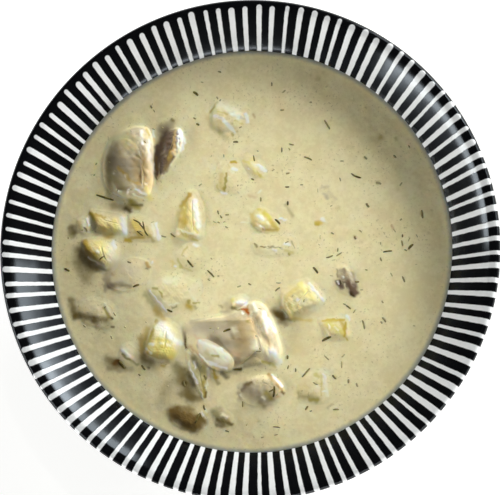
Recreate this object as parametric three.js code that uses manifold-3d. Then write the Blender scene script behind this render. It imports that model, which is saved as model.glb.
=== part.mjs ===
// Creamy fish and potato soup with dill in a wide glazed bowl, in millimetres.
// +Z is up, the origin is the middle of the underside, and the bowl is turned about Z.
import * as THREE from 'three';
import { mergeVertices } from 'three/addons/utils/BufferGeometryUtils.js';
import Module from 'manifold-3d';

const wasm = await Module();
wasm.setup();

// Driving dimensions.
const rimRadius = 100; // outer edge of the lip
const bowlHeight = 55; // underside of the foot to the top of the lip
const soupDrop = 15; // top of the lip down to the soup
const soupRadius = 81.4; // the soup's edge on the wall
const soupDepth = 30.8; // in the middle
const lipCrest = 98; // radius of the highest line of the lip
const lipDrop = 2.6; // crest of the lip down to its outer edge
const footRadius = 44.6;
const footRecess = 3.6; // hollow under the bowl, inside the foot ring
const wallGap = 0.35; // between the soup and the glaze
const creepHeight = 0.5; // how far the soup creeps up the wall
const creepWidth = 1.6; // how quickly that fades away from the wall
const pieceGap = 0.4; // between a piece of food and what it lies in
const undersideSquareness = 3; // how boxy a piece is below the soup, where 2 is round
const dillWidth = 0.75;
const dillHeight = 0.7; // half of it stands out of the soup
const dillTaper = 0.55; // of the width, lost towards the ends
const dillBow = 0.06; // of the length
const turnSteps = 64; // facets round the bowl and the soup
const innerSteps = 14; // rings on the inside of the wall
const outerSteps = 7; // rings on the outside
const lipStep = 30; // degrees between the rings of the lip

const soupLevel = bowlHeight - soupDrop;

const radians = THREE.MathUtils.degToRad;
const group = new THREE.Group();

// ---------------------------------------------------------------- solids and meshes

// A closed three.js geometry as a solid with shared corners.
function solidOf(geometry) {
  const bare = geometry.clone();
  bare.deleteAttribute('normal');
  bare.deleteAttribute('uv');
  const merged = mergeVertices(bare, 1e-4);
  const corners = merged.index.array;
  const kept = [];
  for (let i = 0; i < corners.length; i += 3) {
    const [a, b, c] = [corners[i], corners[i + 1], corners[i + 2]];
    if (a !== b && b !== c && c !== a) kept.push(a, b, c);
  }
  return new wasm.Manifold(new wasm.Mesh({
    numProp: 3,
    vertProperties: Float32Array.from(merged.attributes.position.array),
    triVerts: Uint32Array.from(kept),
  }));
}

// The largest body of a solid, back as a geometry.
function geometryOf(solid) {
  const bodies = solid.decompose();
  bodies.sort((a, b) => b.volume() - a.volume());
  const mesh = bodies[0].getMesh();
  const geometry = new THREE.BufferGeometry();
  geometry.setAttribute('position', new THREE.BufferAttribute(mesh.vertProperties, 3));
  geometry.setIndex(new THREE.BufferAttribute(mesh.triVerts, 1));
  geometry.computeVertexNormals();
  return geometry;
}

function middleOf(points) {
  const sum = points[0].clone();
  points.slice(1).forEach((point) => sum.add(point));
  return sum.divideScalar(points.length);
}

// Rings of equally many points, one above the next, closed by a point at the first and last ring.
function loftSolid(rings) {
  const count = rings[0].length;
  const points = [...rings.flat(), middleOf(rings[0]), middleOf(rings[rings.length - 1])];
  const low = points.length - 2;
  const index = [];
  for (let i = 0; i < count; i += 1) {
    const next = (i + 1) % count;
    index.push(low, next, i);
    for (let row = 0; row < rings.length - 1; row += 1) {
      const [a, b] = [row * count + i, row * count + next];
      index.push(a, b, b + count, a, b + count, a + count);
    }
    index.push(low + 1, low - count + i, low - count + next);
  }
  const geometry = new THREE.BufferGeometry().setFromPoints(points);
  geometry.setIndex(index);
  return solidOf(geometry);
}

function addMesh(name, solid, look) {
  const material = new THREE.MeshStandardMaterial({ metalness: 0, ...look });
  const mesh = new THREE.Mesh(geometryOf(solid), material);
  mesh.name = name;
  group.add(mesh);
}

// ---------------------------------------------------------------- bowl

// The inside of the wall from the middle of the floor to the lip: steep at the soup, then flared.
function innerWall() {
  const rise = [
    [0, -soupDepth], [28, -30.2], [48, -27.3], [62, -21.2], [72, -12.9], [77.6, -5.8],
    [soupRadius, 0], [85.2, 4.9], [89.2, 9], [93.2, 12.4], [95.9, 14.2],
  ];
  const curve = new THREE.SplineCurve(rise.map(([r, z]) => new THREE.Vector2(r, soupLevel + z)));
  return curve.getPoints(innerSteps);
}

// The lip rolls over from its crest to the outer edge and a little under it.
function lipRoll() {
  const points = [];
  for (let angle = 90; angle >= -lipStep; angle -= lipStep) {
    const radius = lipCrest + (rimRadius - lipCrest) * Math.cos(radians(angle));
    points.push(new THREE.Vector2(radius, bowlHeight - lipDrop + lipDrop * Math.sin(radians(angle))));
  }
  return points;
}

// The outside from the lip down to the foot ring, and the hollow under the bowl.
function outerWall() {
  const wall = [[97.6, 50.2], [92, 45.4], [84, 37], [75, 25.8], [64, 13.8], [53, 6.4], [46.6, 3.4]];
  const curve = new THREE.SplineCurve(wall.map(([r, z]) => new THREE.Vector2(r, z)));
  const foot = [
    [footRadius + 1, 0.9], [footRadius, 0], [footRadius - 4, 0],
    [footRadius - 5, 1], [footRadius - 7, footRecess], [0, footRecess],
  ];
  return [...curve.getPoints(outerSteps), ...foot.map(([r, z]) => new THREE.Vector2(r, z))];
}

function turnedSolid(profile) {
  return solidOf(new THREE.LatheGeometry(profile, turnSteps).rotateX(Math.PI / 2));
}

function buildBowl() {
  const profile = [...innerWall(), ...lipRoll(), ...outerWall()].reverse();
  addMesh('bowl', turnedSolid(profile), { color: 0x14161a, roughness: 0.16 });
}

// ---------------------------------------------------------------- pieces of food

// A piece is widest where the soup meets it. Its corners there are given as [x, y], seen from above,
// and so are its highest point or ridge, its height above the soup and its depth in it.
const potatoes = [
  {
    name: 'potato_top', top: 1.9, depth: 7,
    corners: [[-15.1, 61.8], [-0.2, 59.4], [-0.6, 51.6], [-3.9, 48.3], [-15.5, 50.6]],
  },
  {
    name: 'potato_upper', top: 1.1, depth: 7,
    corners: [[-12.5, 36.1], [-3.9, 35.5], [-1.4, 28.6], [-3.9, 22.8], [-13.8, 24.6]],
  },
  {
    name: 'potato_upper_small', top: 1.5, depth: 5,
    corners: [[-1, 38.8], [5.9, 34.6], [5.9, 29.7], [1, 30.1], [-3.1, 35.1]],
  },
  {
    name: 'potato_middle', top: 1.9, depth: 6,
    corners: [[3.5, 17.4], [12.4, 12.8], [11.2, 8.7], [6.7, 6.4], [0.2, 11.4]],
  },
  {
    name: 'potato_sunk_middle', top: 0.8, depth: 6,
    corners: [[1.8, 5.6], [18.1, 4.6], [18.4, -1.1], [5.1, -2.6], [1.4, -0.2]],
  },
  {
    name: 'potato_wedge', top: 2.8, depth: 6, squareness: 2, ridge: [[-23.5, 20.3], [-22.8, 8.2]],
    corners: [[-25.7, 24.3], [-22.4, 24.7], [-18.6, 16.4], [-19.1, 4.9], [-24.4, 3.4], [-30.6, 5.9]],
  },
  {
    name: 'potato_sunk_left', top: 0.9, depth: 6,
    corners: [[-30.2, -2.3], [-24.4, 2.8], [-17.8, -0.8], [-20.3, -7.3], [-26, -8.1]],
  },
  {
    name: 'potato_left_back', top: 2.1, depth: 6, squareness: 3, ridge: [[-59.9, 12.6], [-54.3, 11.1]],
    corners: [[-66.2, 17.3], [-60.1, 16.4], [-51.1, 14.7], [-50.6, 7], [-59.2, 6.9], [-64.1, 8.4]],
  },
  {
    name: 'potato_left_herbs', top: 1.5, depth: 6,
    corners: [[-49.8, 14.5], [-42.6, 13.8], [-37.6, 9.2], [-36.8, 3.9], [-44.6, 4], [-50, 5.6]],
  },
  {
    name: 'potato_left_front', top: 2.6, depth: 7, squareness: 2.4, ridge: [[-60.8, 1.7], [-59.1, -3.6]],
    corners: [
      [-69.4, 4.6], [-61.6, 5.7], [-53.7, 2.4], [-54.5, -4.5], [-59, -8.2], [-64.9, -4.4], [-68.7, -0.4],
    ],
  },
  {
    name: 'potato_crumb_left', top: 1.3, depth: 2.5, squareness: 2.4,
    corners: [[-70.9, 12.7], [-67.6, 13.9], [-66.4, 9.5], [-68.8, 7.1], [-71.2, 9.2]],
  },
  {
    name: 'potato_slab', top: 1.2, depth: 5, squareness: 7,
    corners: [[-42, -15.7], [-35.5, -8.8], [-20.3, -13], [-21.4, -20.7], [-27.2, -24.3], [-33.3, -26.8]],
  },
  {
    name: 'potato_golden', top: 3.6, depth: 7, squareness: 2.4, ridge: [[-33.8, -32.8], [-33.9, -39.5]],
    corners: [
      [-42.3, -35.6], [-39.8, -29.2], [-34.1, -27.6], [-28.3, -31.8], [-28.3, -40.5], [-31.6, -45.8],
      [-37.7, -45.4], [-43.1, -42.5],
    ],
  },
  {
    name: 'potato_small_left', top: 1.1, depth: 4.5, squareness: 3,
    corners: [[-52.6, -40.1], [-48.9, -37.7], [-45.1, -41.7], [-48.4, -47], [-53.4, -45.4]],
  },
  {
    name: 'potato_sunk_edge', top: 0.8, depth: 4,
    corners: [[-70.1, -23.3], [-65.6, -19.6], [-56.4, -22.2], [-55.1, -28.3], [-59.7, -31.5], [-68, -29.1]],
  },
  {
    name: 'potato_right', top: 2.7, depth: 7, squareness: 3, ridge: [[19.8, -21.9], [23.8, -17.1]],
    corners: [
      [12.7, -22.9], [12.7, -17.3], [19.7, -12.5], [24.1, -12.1], [30.6, -19.4], [29.3, -22.6],
      [21.2, -28.2], [16.4, -29],
    ],
  },
  {
    name: 'potato_right_low', top: 1.7, depth: 5, squareness: 5,
    corners: [[27.7, -28.6], [38.1, -27.5], [40.9, -35.5], [34.8, -37], [31.3, -35.8]],
  },
  {
    name: 'potato_sunk_right', top: 0.9, depth: 6,
    corners: [[19.6, -55.1], [22.8, -50.3], [30.8, -49.1], [32.4, -55.1], [30.8, -61.4], [20.4, -61.4]],
  },
  {
    name: 'potato_crumb_top', top: 3, depth: 2, squareness: 2.2,
    corners: [[-7.5, -19.7], [-3.1, -18], [0.6, -21], [-2.7, -24.2], [-6.7, -23.2]],
  },
];

const fish = [
  {
    name: 'fish_flake', top: 1.1, depth: 0.9, lift: 3.1, slope: [0.1, 0.12], squareness: 2.4,
    corners: [
      [-21.8, -36.9], [-17.3, -35.7], [-9.6, -40.2], [-5.1, -45.4], [-7.5, -49.1], [-14.9, -48.3],
      [-20.2, -43.4],
    ],
  },
  {
    name: 'fish_large', top: 5, depth: 8, squareness: 1.9, ridge: [[2.6, -28.7], [5.1, -39.6]],
    swell: 0.5, rounds: 2,
    corners: [
      [-27.5, -29.6], [-25.5, -39], [-18.5, -46.6], [-7.1, -49.5], [1, -43.1], [8.2, -49.1],
      [14.8, -45.4], [11.5, -32.6], [7.1, -21.7], [-0.6, -19.6], [-8.4, -26], [-18.5, -28],
    ],
  },
  {
    name: 'fish_left', top: 4.6, depth: 7, squareness: 2, ridge: [[-44.4, 45.1], [-42.8, 26.8]],
    swell: 0.35, rounds: 2,
    corners: [
      [-54.5, 49.5], [-47, 52.4], [-40.3, 50.6], [-39, 38.1], [-39.5, 27.3], [-41.8, 20],
      [-51.8, 20.9], [-59.7, 25.2], [-61, 36], [-58.6, 43.4],
    ],
  },
  {
    name: 'fish_sunk', top: 1, depth: 5, squareness: 3, swell: 0.2,
    corners: [
      [-54.8, -9.3], [-51.1, -2.8], [-42.5, -3.4], [-39.9, -8.8], [-45.3, -15.2], [-52.4, -16.9],
      [-59.4, -13.9],
    ],
  },
  {
    name: 'fish_disc', top: 1.8, depth: 4, squareness: 2.6, ridge: [[5.8, -53.6], [10.6, -55.6]], swell: 0.2,
    corners: [
      [-4.7, -56.7], [-2.7, -51.8], [5.1, -49.9], [12.3, -51.8], [15.1, -58.6], [8.2, -62.6], [-1, -63],
    ],
  },
];

const skin = [
  {
    name: 'skin_left', top: 2.6, depth: 4, squareness: 2, ridge: [[-30.5, 45.9], [-34.3, 36.2]], swell: 0.3,
    corners: [
      [-37.8, 37.2], [-36.6, 47.2], [-32, 51.3], [-27.4, 50.4], [-27, 41.3], [-31.9, 34.7], [-37.3, 28.2],
      [-38.3, 30.2],
    ],
  },
  {
    name: 'skin_right', top: 1.6, depth: 3, squareness: 2.4, swell: 0.25,
    corners: [
      [34.2, -10.5], [36.7, -6.5], [40.7, -7.7], [43.4, -15], [42.6, -19.4], [38.6, -17.8], [34.9, -15.3],
    ],
  },
  {
    name: 'skin_lower', top: 1.2, depth: 2.2, squareness: 2.6, swell: 0.2,
    corners: [
      [-32.7, -65.2], [-29, -62.7], [-22.5, -64.4], [-17.6, -68.7], [-18.9, -73.3], [-25.4, -72.3],
      [-31.5, -69.8],
    ],
  },
  {
    name: 'skin_lower_small', top: 0.9, depth: 2, squareness: 2.4, swell: 0.1,
    corners: [[-15.2, -66.7], [-11.1, -64.7], [-7.1, -66.7], [-7.4, -70.3], [-12.3, -71.5]],
  },
];

const onion = [
  {
    name: 'onion_wedge', top: 1.9, depth: 3.4, squareness: 3.4, ridge: [[-21.1, -45.1], [-18.6, -57]],
    corners: [
      [-25.9, -40.1], [-21.4, -43.4], [-15.3, -48.7], [-16, -55.1], [-18.4, -61.1], [-21.7, -55.9],
      [-25.1, -47.8],
    ],
  },
];

const looks = {
  potato: { color: 0xd9cc8e, roughness: 0.38 },
  fish: { color: 0xcfbfa6, roughness: 0.36 },
  skin: { color: 0x4b4340, roughness: 0.34 },
  onion: { color: 0xbdb98f, roughness: 0.3 },
  soup: { color: 0xd9ce9e, roughness: 0.34 },
};

// How much of each side is cut off at a corner, and where a kind's rings lie, in degrees: 90 is the
// top, 0 the waterline and -90 the underside.
const kinds = [
  { pieces: fish, look: looks.fish, cut: 0.25, rings: [-55, 0, 14, 32, 50, 68] },
  { pieces: potatoes, look: looks.potato, cut: 0.18, rings: [-50, 0, 30, 62] },
  { pieces: skin, look: looks.skin, cut: 0.25, rings: [-50, 0, 25, 55] },
  { pieces: onion, look: looks.onion, cut: 0.2, rings: [-50, 0, 30, 60] },
];

const lumps = [0.55, 0.31]; // of a piece's swell, in radians a millimetre along x and y

const flat = ([x, y]) => new THREE.Vector2(x, y);

// The corners with each one cut off, once or more often, counter-clockwise from above.
function outlineOf({ corners, rounds = 1 }, cut) {
  let outline = corners.map(flat);
  if (THREE.ShapeUtils.isClockWise(outline)) outline.reverse();
  for (let round = 0; round < rounds; round += 1) {
    outline = outline.flatMap((corner, i) => {
      const last = outline[(i + outline.length - 1) % outline.length];
      const next = outline[(i + 1) % outline.length];
      return [corner.clone().lerp(last, cut), corner.clone().lerp(next, cut)];
    });
  }
  return outline;
}

// Each point of the outline moved out square to the outline, for the hollow round a piece.
function widened(outline, gap) {
  return outline.map((point, i) => {
    const last = outline[(i + outline.length - 1) % outline.length];
    const next = outline[(i + 1) % outline.length];
    const along = next.clone().sub(last).normalize();
    return new THREE.Vector2(point.x + gap * along.y, point.y - gap * along.x);
  });
}

// The point of a piece's ridge that is nearest to a point of its outline.
function nearestOnRidge(piece, middle, point) {
  if (!piece.ridge) return middle;
  const [start, end] = piece.ridge.map(flat);
  const along = end.clone().sub(start);
  const share = point.clone().sub(start).dot(along) / along.lengthSq();
  return start.addScaledVector(along, THREE.MathUtils.clamp(share, 0, 1));
}

// A piece is a dome over its outline and a bowl under it: at an angle a its rings are cos(a)^(2/k) of
// the way from the ridge to the outline, and sin(a)^(2/k) of its height or its depth.
function pieceSolid(piece, { cut, rings }, gap = 0) {
  const { top, depth, squareness = 4.4, lift = 0, slope = [0, 0], swell = 0 } = piece;
  const outline = widened(outlineOf(piece, cut), gap);
  const middle = middleOf(outline);
  const levels = rings.map((angle) => {
    const above = angle > 0;
    const power = 2 / (above ? squareness : undersideSquareness);
    const reach = Math.cos(radians(angle)) ** power;
    const height = above ? top + gap : -depth - gap;
    const rise = height * Math.abs(Math.sin(radians(angle))) ** power;
    const lumpiness = above ? swell * Math.sin(radians(angle)) : 0;
    return outline.map((edge) => {
      const crest = above ? nearestOnRidge(piece, middle, edge) : middle;
      const point = crest.clone().lerp(edge, reach);
      const tilt = slope[0] * (point.x - middle.x) + slope[1] * (point.y - middle.y);
      const lump = lumpiness * Math.sin(lumps[0] * point.x + lumps[1] * point.y);
      return new THREE.Vector3(point.x, point.y, soupLevel + lift + rise + tilt + lump);
    });
  });
  return loftSolid(levels);
}

// The straight-sided hollow that a piece leaves in the soup.
function hollowSolid(piece, { cut }) {
  const outline = widened(outlineOf(piece, cut), pieceGap);
  const levels = [soupLevel - piece.depth - pieceGap, soupLevel + piece.top + 1];
  return loftSolid(levels.map((z) => outline.map((point) => new THREE.Vector3(point.x, point.y, z))));
}

function meet(a, b) {
  const [one, two] = [a.boundingBox(), b.boundingBox()];
  return [0, 1, 2].every((axis) => one.min[axis] < two.max[axis] && two.min[axis] < one.max[axis]);
}

// Each piece is cut back where it would run into one that was laid before it.
function buildPieces() {
  const laid = [];
  kinds.forEach((kind) => {
    kind.pieces.forEach((piece) => {
      const near = pieceSolid(piece, kind);
      const met = laid.filter((other) => meet(near, other));
      const solid = met.reduce((rest, other) => rest.subtract(other), near);
      laid.push(pieceSolid(piece, kind, pieceGap));
      addMesh(piece.name, solid, kind.look);
    });
  });
}

// ---------------------------------------------------------------- soup

// The longest bits of dill on the soup: middle, length and heading in degrees.
const dill = [
  [-61.1, 21.9, 6.4, -17], [-23, 65.3, 3, 40], [-45.8, 17.5, 4.6, 12], [-16.1, -8.3, 3.6, -45],
  [22.7, -47.5, 4.2, 45], [23.9, 37.7, 3.2, -30], [43.2, 30, 3.6, -30], [31.5, 51.1, 4, 56],
  [17, 43.5, 2.6, 10], [8.9, 68.5, 2.6, -60], [55.6, -1, 3, 4], [64.3, 0.5, 4, -20],
  [62, -11.9, 2.6, 70], [26.6, -8.5, 2.6, -15], [45.4, -30.2, 3.2, 88], [53.8, -28.4, 2.6, 30],
  [-44, -48.3, 3, 15], [-6, 44.7, 2.8, -50], [-22.2, 53.3, 2.8, 62], [15.3, 20.8, 2.6, 35],
  [47.4, 17.7, 3, -70], [-68, -9.6, 2.6, 20], [40.9, -59.5, 3, -35], [-37.9, 62.5, 2.6, 5],
];

// The slow swells of the soup: height, radians a millimetre along x and along y, and start.
const swells = [[0.12, 0.071, 0.083, 0.6], [0.08, 0.19, -0.13, 1.1]];

// The height of the soup's surface, which creeps up the wall over the last few millimetres.
function soupHeight(x, y) {
  const creep = creepHeight * Math.exp((Math.hypot(x, y) - soupRadius) / creepWidth);
  return swells.reduce((sum, [height, alongX, alongY, start]) => (
    sum + height * Math.sin(alongX * x + alongY * y + start)
  ), soupLevel + creep);
}

// A bit of dill: a low bar, pointed at both ends and slightly bowed.
function dillSolid([x, y, length, heading]) {
  const geometry = new THREE.BoxGeometry(length, dillWidth, dillHeight, 2, 1, 1);
  const place = geometry.attributes.position;
  for (let i = 0; i < place.count; i += 1) {
    const along = (2 * place.getX(i) / length) ** 2;
    place.setY(i, place.getY(i) * (1 - dillTaper * along) + dillBow * length * along);
  }
  geometry.rotateZ(radians(heading));
  geometry.translate(x, y, soupHeight(x, y));
  return solidOf(geometry);
}

// The soup fills the bowl to its level, with the dill joined to it and the pieces' hollows cut out.
function buildSoup() {
  const wall = innerWall().filter((point) => point.x < soupRadius - 0.5);
  const underside = wall.map((point) => new THREE.Vector2(Math.max(point.x - wallGap, 0), point.y + wallGap));
  const edge = new THREE.Vector2(soupRadius - wallGap, soupLevel + 0.2);
  const surface = [80, 54, 27, 0].map((radius) => new THREE.Vector2(radius, soupLevel));
  const geometry = new THREE.LatheGeometry([...underside, edge, ...surface], turnSteps).rotateX(Math.PI / 2);
  const place = geometry.attributes.position;
  for (let i = 0; i < place.count; i += 1) {
    const onTop = place.getZ(i) > soupLevel - 0.01;
    if (onTop) place.setZ(i, soupHeight(place.getX(i), place.getY(i)));
  }
  let solid = dill.reduce((sum, bit) => sum.add(dillSolid(bit)), solidOf(geometry));
  kinds.forEach((kind) => {
    const sunk = kind.pieces.filter((piece) => !piece.lift);
    sunk.forEach((piece) => {
      solid = solid.subtract(hollowSolid(piece, kind));
    });
  });
  addMesh('soup', solid, looks.soup);
}

buildBowl();
buildSoup();
buildPieces();

export default group;
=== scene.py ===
# Creamy fish and potato soup with dill in a wide black bowl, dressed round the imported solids.
import math

import bpy
import numpy as np
from mathutils import Matrix, Vector


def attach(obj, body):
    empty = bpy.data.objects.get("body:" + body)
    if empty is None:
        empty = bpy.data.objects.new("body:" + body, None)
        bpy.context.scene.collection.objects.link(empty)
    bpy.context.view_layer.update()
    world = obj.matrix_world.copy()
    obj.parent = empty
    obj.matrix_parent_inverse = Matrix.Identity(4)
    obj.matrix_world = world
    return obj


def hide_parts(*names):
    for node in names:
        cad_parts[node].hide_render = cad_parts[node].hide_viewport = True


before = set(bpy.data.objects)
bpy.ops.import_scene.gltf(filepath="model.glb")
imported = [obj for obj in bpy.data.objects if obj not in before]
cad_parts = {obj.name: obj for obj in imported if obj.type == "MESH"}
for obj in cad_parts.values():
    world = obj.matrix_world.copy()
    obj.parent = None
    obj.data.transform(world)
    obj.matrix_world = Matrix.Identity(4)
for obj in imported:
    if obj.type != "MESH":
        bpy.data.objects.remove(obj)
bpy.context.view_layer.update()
mm = 0.001
bpy.context.scene.view_settings.view_transform = "Standard"

# Camera: it looks down from a little to the lower right, with world +Y upwards in the picture.
view = {"eye": (62.1, -52.7, 655.0), "target": (1.7, -0.4, 55.0), "lens": 110.09, "sensor": 36.0,
        "clip": (0.01, 50)}


def makeCamera():
    data = bpy.data.cameras.new("camera")
    data.lens = view["lens"]
    data.sensor_width = view["sensor"]
    data.clip_start, data.clip_end = view["clip"]
    camera = bpy.data.objects.new("camera", data)
    bpy.context.scene.collection.objects.link(camera)
    eye, target = Vector(view["eye"]) * mm, Vector(view["target"]) * mm
    back = (eye - target).normalized()
    right = Vector((0, 1, 0)).cross(back).normalized()
    up = back.cross(right)
    turn = Matrix((right, up, back)).transposed().to_4x4()
    camera.matrix_world = Matrix.Translation(eye) @ turn
    bpy.context.scene.camera = camera


makeCamera()
print("camera set")

# Light: glow is what a softbox looks like seen head on, directions are degrees round from +X.
softboxes = {
    "window_left_half": {"heading": 30, "rise": 19.5, "size": (1100, 260), "glow": 16.6,
                         "colour": (0.985, 1.0, 0.985)},
    "window_right_half": {"heading": 53, "rise": 18.5, "size": (900, 290), "glow": 18.7,
                          "colour": (0.985, 1.0, 0.985)},
    "window_low": {"heading": 27, "rise": 7, "size": (950, 340), "glow": 1.3, "colour": (0.9, 0.95, 1.0)},
    "wall_core": {"heading": 200, "rise": 15, "size": (1350, 200), "glow": 22, "colour": (0.99, 1.0, 0.985)},
    "wall_low": {"heading": 222, "rise": 7, "size": (1200, 260), "glow": 0.4, "colour": (0.9, 0.95, 1.0)},
    "near_side": {"heading": 288, "rise": 5, "size": (2200, 150), "glow": 19, "colour": (1.0, 0.99, 0.97)},
}
pool = {"heading": 60, "rise": 62, "aim": (0, -13, 40), "power": 25, "cone": 6.8, "blend": 1.0, "soft": 40,
        "colour": (0.99, 1.0, 0.97)}
lamps = {"away": 1500, "aim": (0, 0, 50)}
room = {"dim": 0.025, "seen": 0.92}


# A lamp that looks at a place from a heading and a rise, out of the camera's sight.
def hangLamp(name, data, look, aim):
    heading, rise = math.radians(look["heading"]), math.radians(look["rise"])
    outward = Vector((math.cos(heading) * math.cos(rise), math.sin(heading) * math.cos(rise), math.sin(rise)))
    across = Vector((0, 0, 1)).cross(outward).normalized()
    turn = Matrix((across, outward.cross(across), outward)).transposed().to_4x4()
    lamp = bpy.data.objects.new(name, data)
    bpy.context.scene.collection.objects.link(lamp)
    lamp.matrix_world = Matrix.Translation((Vector(aim) + outward * lamps["away"]) * mm) @ turn
    lamp.visible_camera = False
    return lamp


def makeSoftbox(name, look):
    data = bpy.data.lights.new(name, "AREA")
    data.shape = "RECTANGLE"
    data.size, data.size_y = look["size"][0] * mm, look["size"][1] * mm
    data.energy = look["glow"] * math.pi * data.size * data.size_y
    data.color = look["colour"]
    hangLamp(name, data, look, lamps["aim"])


# A soft pool of light on the middle of the bowl, from high up.
def makePool():
    data = bpy.data.lights.new("pool", "SPOT")
    data.energy, data.color = pool["power"], pool["colour"]
    data.spot_size, data.spot_blend = math.radians(pool["cone"]), pool["blend"]
    data.shadow_soft_size = pool["soft"] * mm
    hangLamp("pool", data, pool, pool["aim"]).visible_glossy = False


for name, look in softboxes.items():
    makeSoftbox(name, look)
makePool()


# Small helpers for shader nodes.
def add(tree, kind, inputs=None, **settings):
    made = tree.nodes.new(kind)
    for key, value in settings.items():
        setattr(made, key, value)
    for key, value in (inputs or {}).items():
        if isinstance(value, bpy.types.NodeSocket):
            tree.links.new(value, made.inputs[key])
        else:
            made.inputs[key].default_value = value
    return made


def calc(tree, operation, *values):
    return add(tree, "ShaderNodeMath", dict(enumerate(values)), operation=operation).outputs[0]


def asColour(value):
    return value if isinstance(value, bpy.types.NodeSocket) else (*value, 1.0)


def shaded(colour, share):
    return tuple(part * share for part in colour)


def mix(tree, share, first, second):
    colours = {0: share, 6: asColour(first), 7: asColour(second)}
    return add(tree, "ShaderNodeMix", colours, data_type="RGBA").outputs[2]


def ramp(tree, value, low, high, toLow=0.0, toHigh=1.0):
    made = add(tree, "ShaderNodeMapRange", {0: value, 1: low, 2: high, 3: toLow, 4: toHigh},
               interpolation_type="SMOOTHSTEP")
    return made.outputs[0]


def grain(tree, place, scale, detail=2.0, rough=0.5):
    inputs = {"Vector": place, "Scale": scale, "Detail": detail, "Roughness": rough}
    return add(tree, "ShaderNodeTexNoise", inputs).outputs[0]


def startMaterial(name):
    material = bpy.data.materials.new(name)
    material.use_nodes = True
    tree = material.node_tree
    tree.nodes.clear()
    shader = tree.nodes.new("ShaderNodeBsdfPrincipled")
    output = tree.nodes.new("ShaderNodeOutputMaterial")
    tree.links.new(shader.outputs[0], output.inputs[0])
    place = tree.nodes.new("ShaderNodeTexCoord").outputs["Object"]
    return material, tree, shader, place


def feed(tree, shader, **sockets):
    for name, value in sockets.items():
        socket = shader.inputs[name.replace("_", " ")]
        if isinstance(value, bpy.types.NodeSocket):
            tree.links.new(value, socket)
        else:
            socket.default_value = value


def bump(tree, height, distance):
    return add(tree, "ShaderNodeBump", {"Height": height, "Distance": distance, "Strength": 1.0}).outputs[0]


def mask(tree, name):
    return add(tree, "ShaderNodeAttribute", attribute_name=name).outputs["Fac"]


# Room and floor.
def makeRoom():
    world = bpy.data.worlds.new("room")
    bpy.context.scene.world = world
    world.use_nodes = True
    tree = world.node_tree
    background = tree.nodes["Background"]
    seen = add(tree, "ShaderNodeLightPath").outputs["Is Camera Ray"]
    tree.links.new(calc(tree, "MULTIPLY_ADD", seen, room["seen"] - room["dim"], room["dim"]),
                   background.inputs["Strength"])
    background.inputs["Color"].default_value = (1, 1, 1, 1)


floorLook = {"half": 3000, "steps": 12, "below": 0.05, "colour": (0.9, 0.9, 0.89), "cloud": 1.5,
             "shade": 0.985, "roughness": 0.9, "lift": 0.7}


def makeFloor():
    look = floorLook
    side = np.linspace(-look["half"], look["half"], look["steps"] + 1)
    x, y = np.meshgrid(side, side)
    points = np.stack([x, y, np.full_like(x, -look["below"])], axis=-1).reshape(-1, 3)
    floor = meshFrom("floor", points, gridQuads(len(side), len(side)), smooth=False)
    material, tree, shader, place = startMaterial("pale_floor")
    colour = mix(tree, grain(tree, place, look["cloud"]), look["colour"],
                 shaded(look["colour"], look["shade"]))
    feed(tree, shader, Base_Color=colour, Roughness=look["roughness"], Emission_Color=colour,
         Emission_Strength=look["lift"])
    floor.data.materials.append(material)


# Meshes are made from arrays of points in millimetres. This is a grid of rows and columns as quads, each
# turned so that rows across columns points out.
def gridQuads(rows, columns, wrap=False):
    row, column = np.meshgrid(np.arange(rows - 1), np.arange(columns if wrap else columns - 1), indexing="ij")
    after = (column + 1) % columns
    here, above = row * columns, (row + 1) * columns
    return np.stack([here + column, here + after, above + after, above + column], axis=-1).reshape(-1, 4)


# A fan of triangles from one point round a ring.
def fanFaces(centre, ring, turned=False):
    after = np.roll(ring, -1)
    fan = np.stack([np.full_like(ring, centre), ring, after], axis=-1)
    return fan[:, ::-1] if turned else fan


def meshFrom(name, points, quads, triangles=None, smooth=True):
    triangles = np.zeros((0, 3), int) if triangles is None else triangles
    data = bpy.data.meshes.new(name)
    data.vertices.add(len(points))
    data.vertices.foreach_set("co", (np.asarray(points, float) * mm).astype(np.float32).ravel())
    corners = np.concatenate([quads.ravel(), triangles.ravel()]).astype(np.int32)
    starts = np.concatenate([np.arange(len(quads)) * 4, len(quads) * 4 + np.arange(len(triangles)) * 3])
    data.loops.add(len(corners))
    data.loops.foreach_set("vertex_index", corners)
    data.polygons.add(len(starts))
    data.polygons.foreach_set("loop_start", starts.astype(np.int32))
    data.polygons.foreach_set("use_smooth", np.full(len(starts), smooth))
    data.update(calc_edges=True)
    data.validate()
    piece = bpy.data.objects.new(name, data)
    bpy.context.scene.collection.objects.link(piece)
    return piece


def setMask(piece, name, values):
    layer = piece.data.attributes.new(name, "FLOAT", "POINT")
    layer.data.foreach_set("value", np.asarray(values, np.float32).ravel())


waveForm = {"count": 14, "rates": (0.7, 1.5)}


# Smooth noise about one high: sines near one wavelength running in scattered directions, added up.
def waves(x, y, wavelength, seed):
    draw, count = np.random.default_rng(seed), waveForm["count"]
    heading = draw.uniform(0, 2 * np.pi, count)
    rate = 2 * np.pi / wavelength * draw.uniform(*waveForm["rates"], count)
    start = draw.uniform(0, 2 * np.pi, count)
    total = np.zeros(np.shape(x))
    for turn, speed, begin in zip(heading, rate, start):
        total += np.sin(speed * (x * np.cos(turn) + y * np.sin(turn)) + begin)
    return total * math.sqrt(2 / count)


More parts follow.
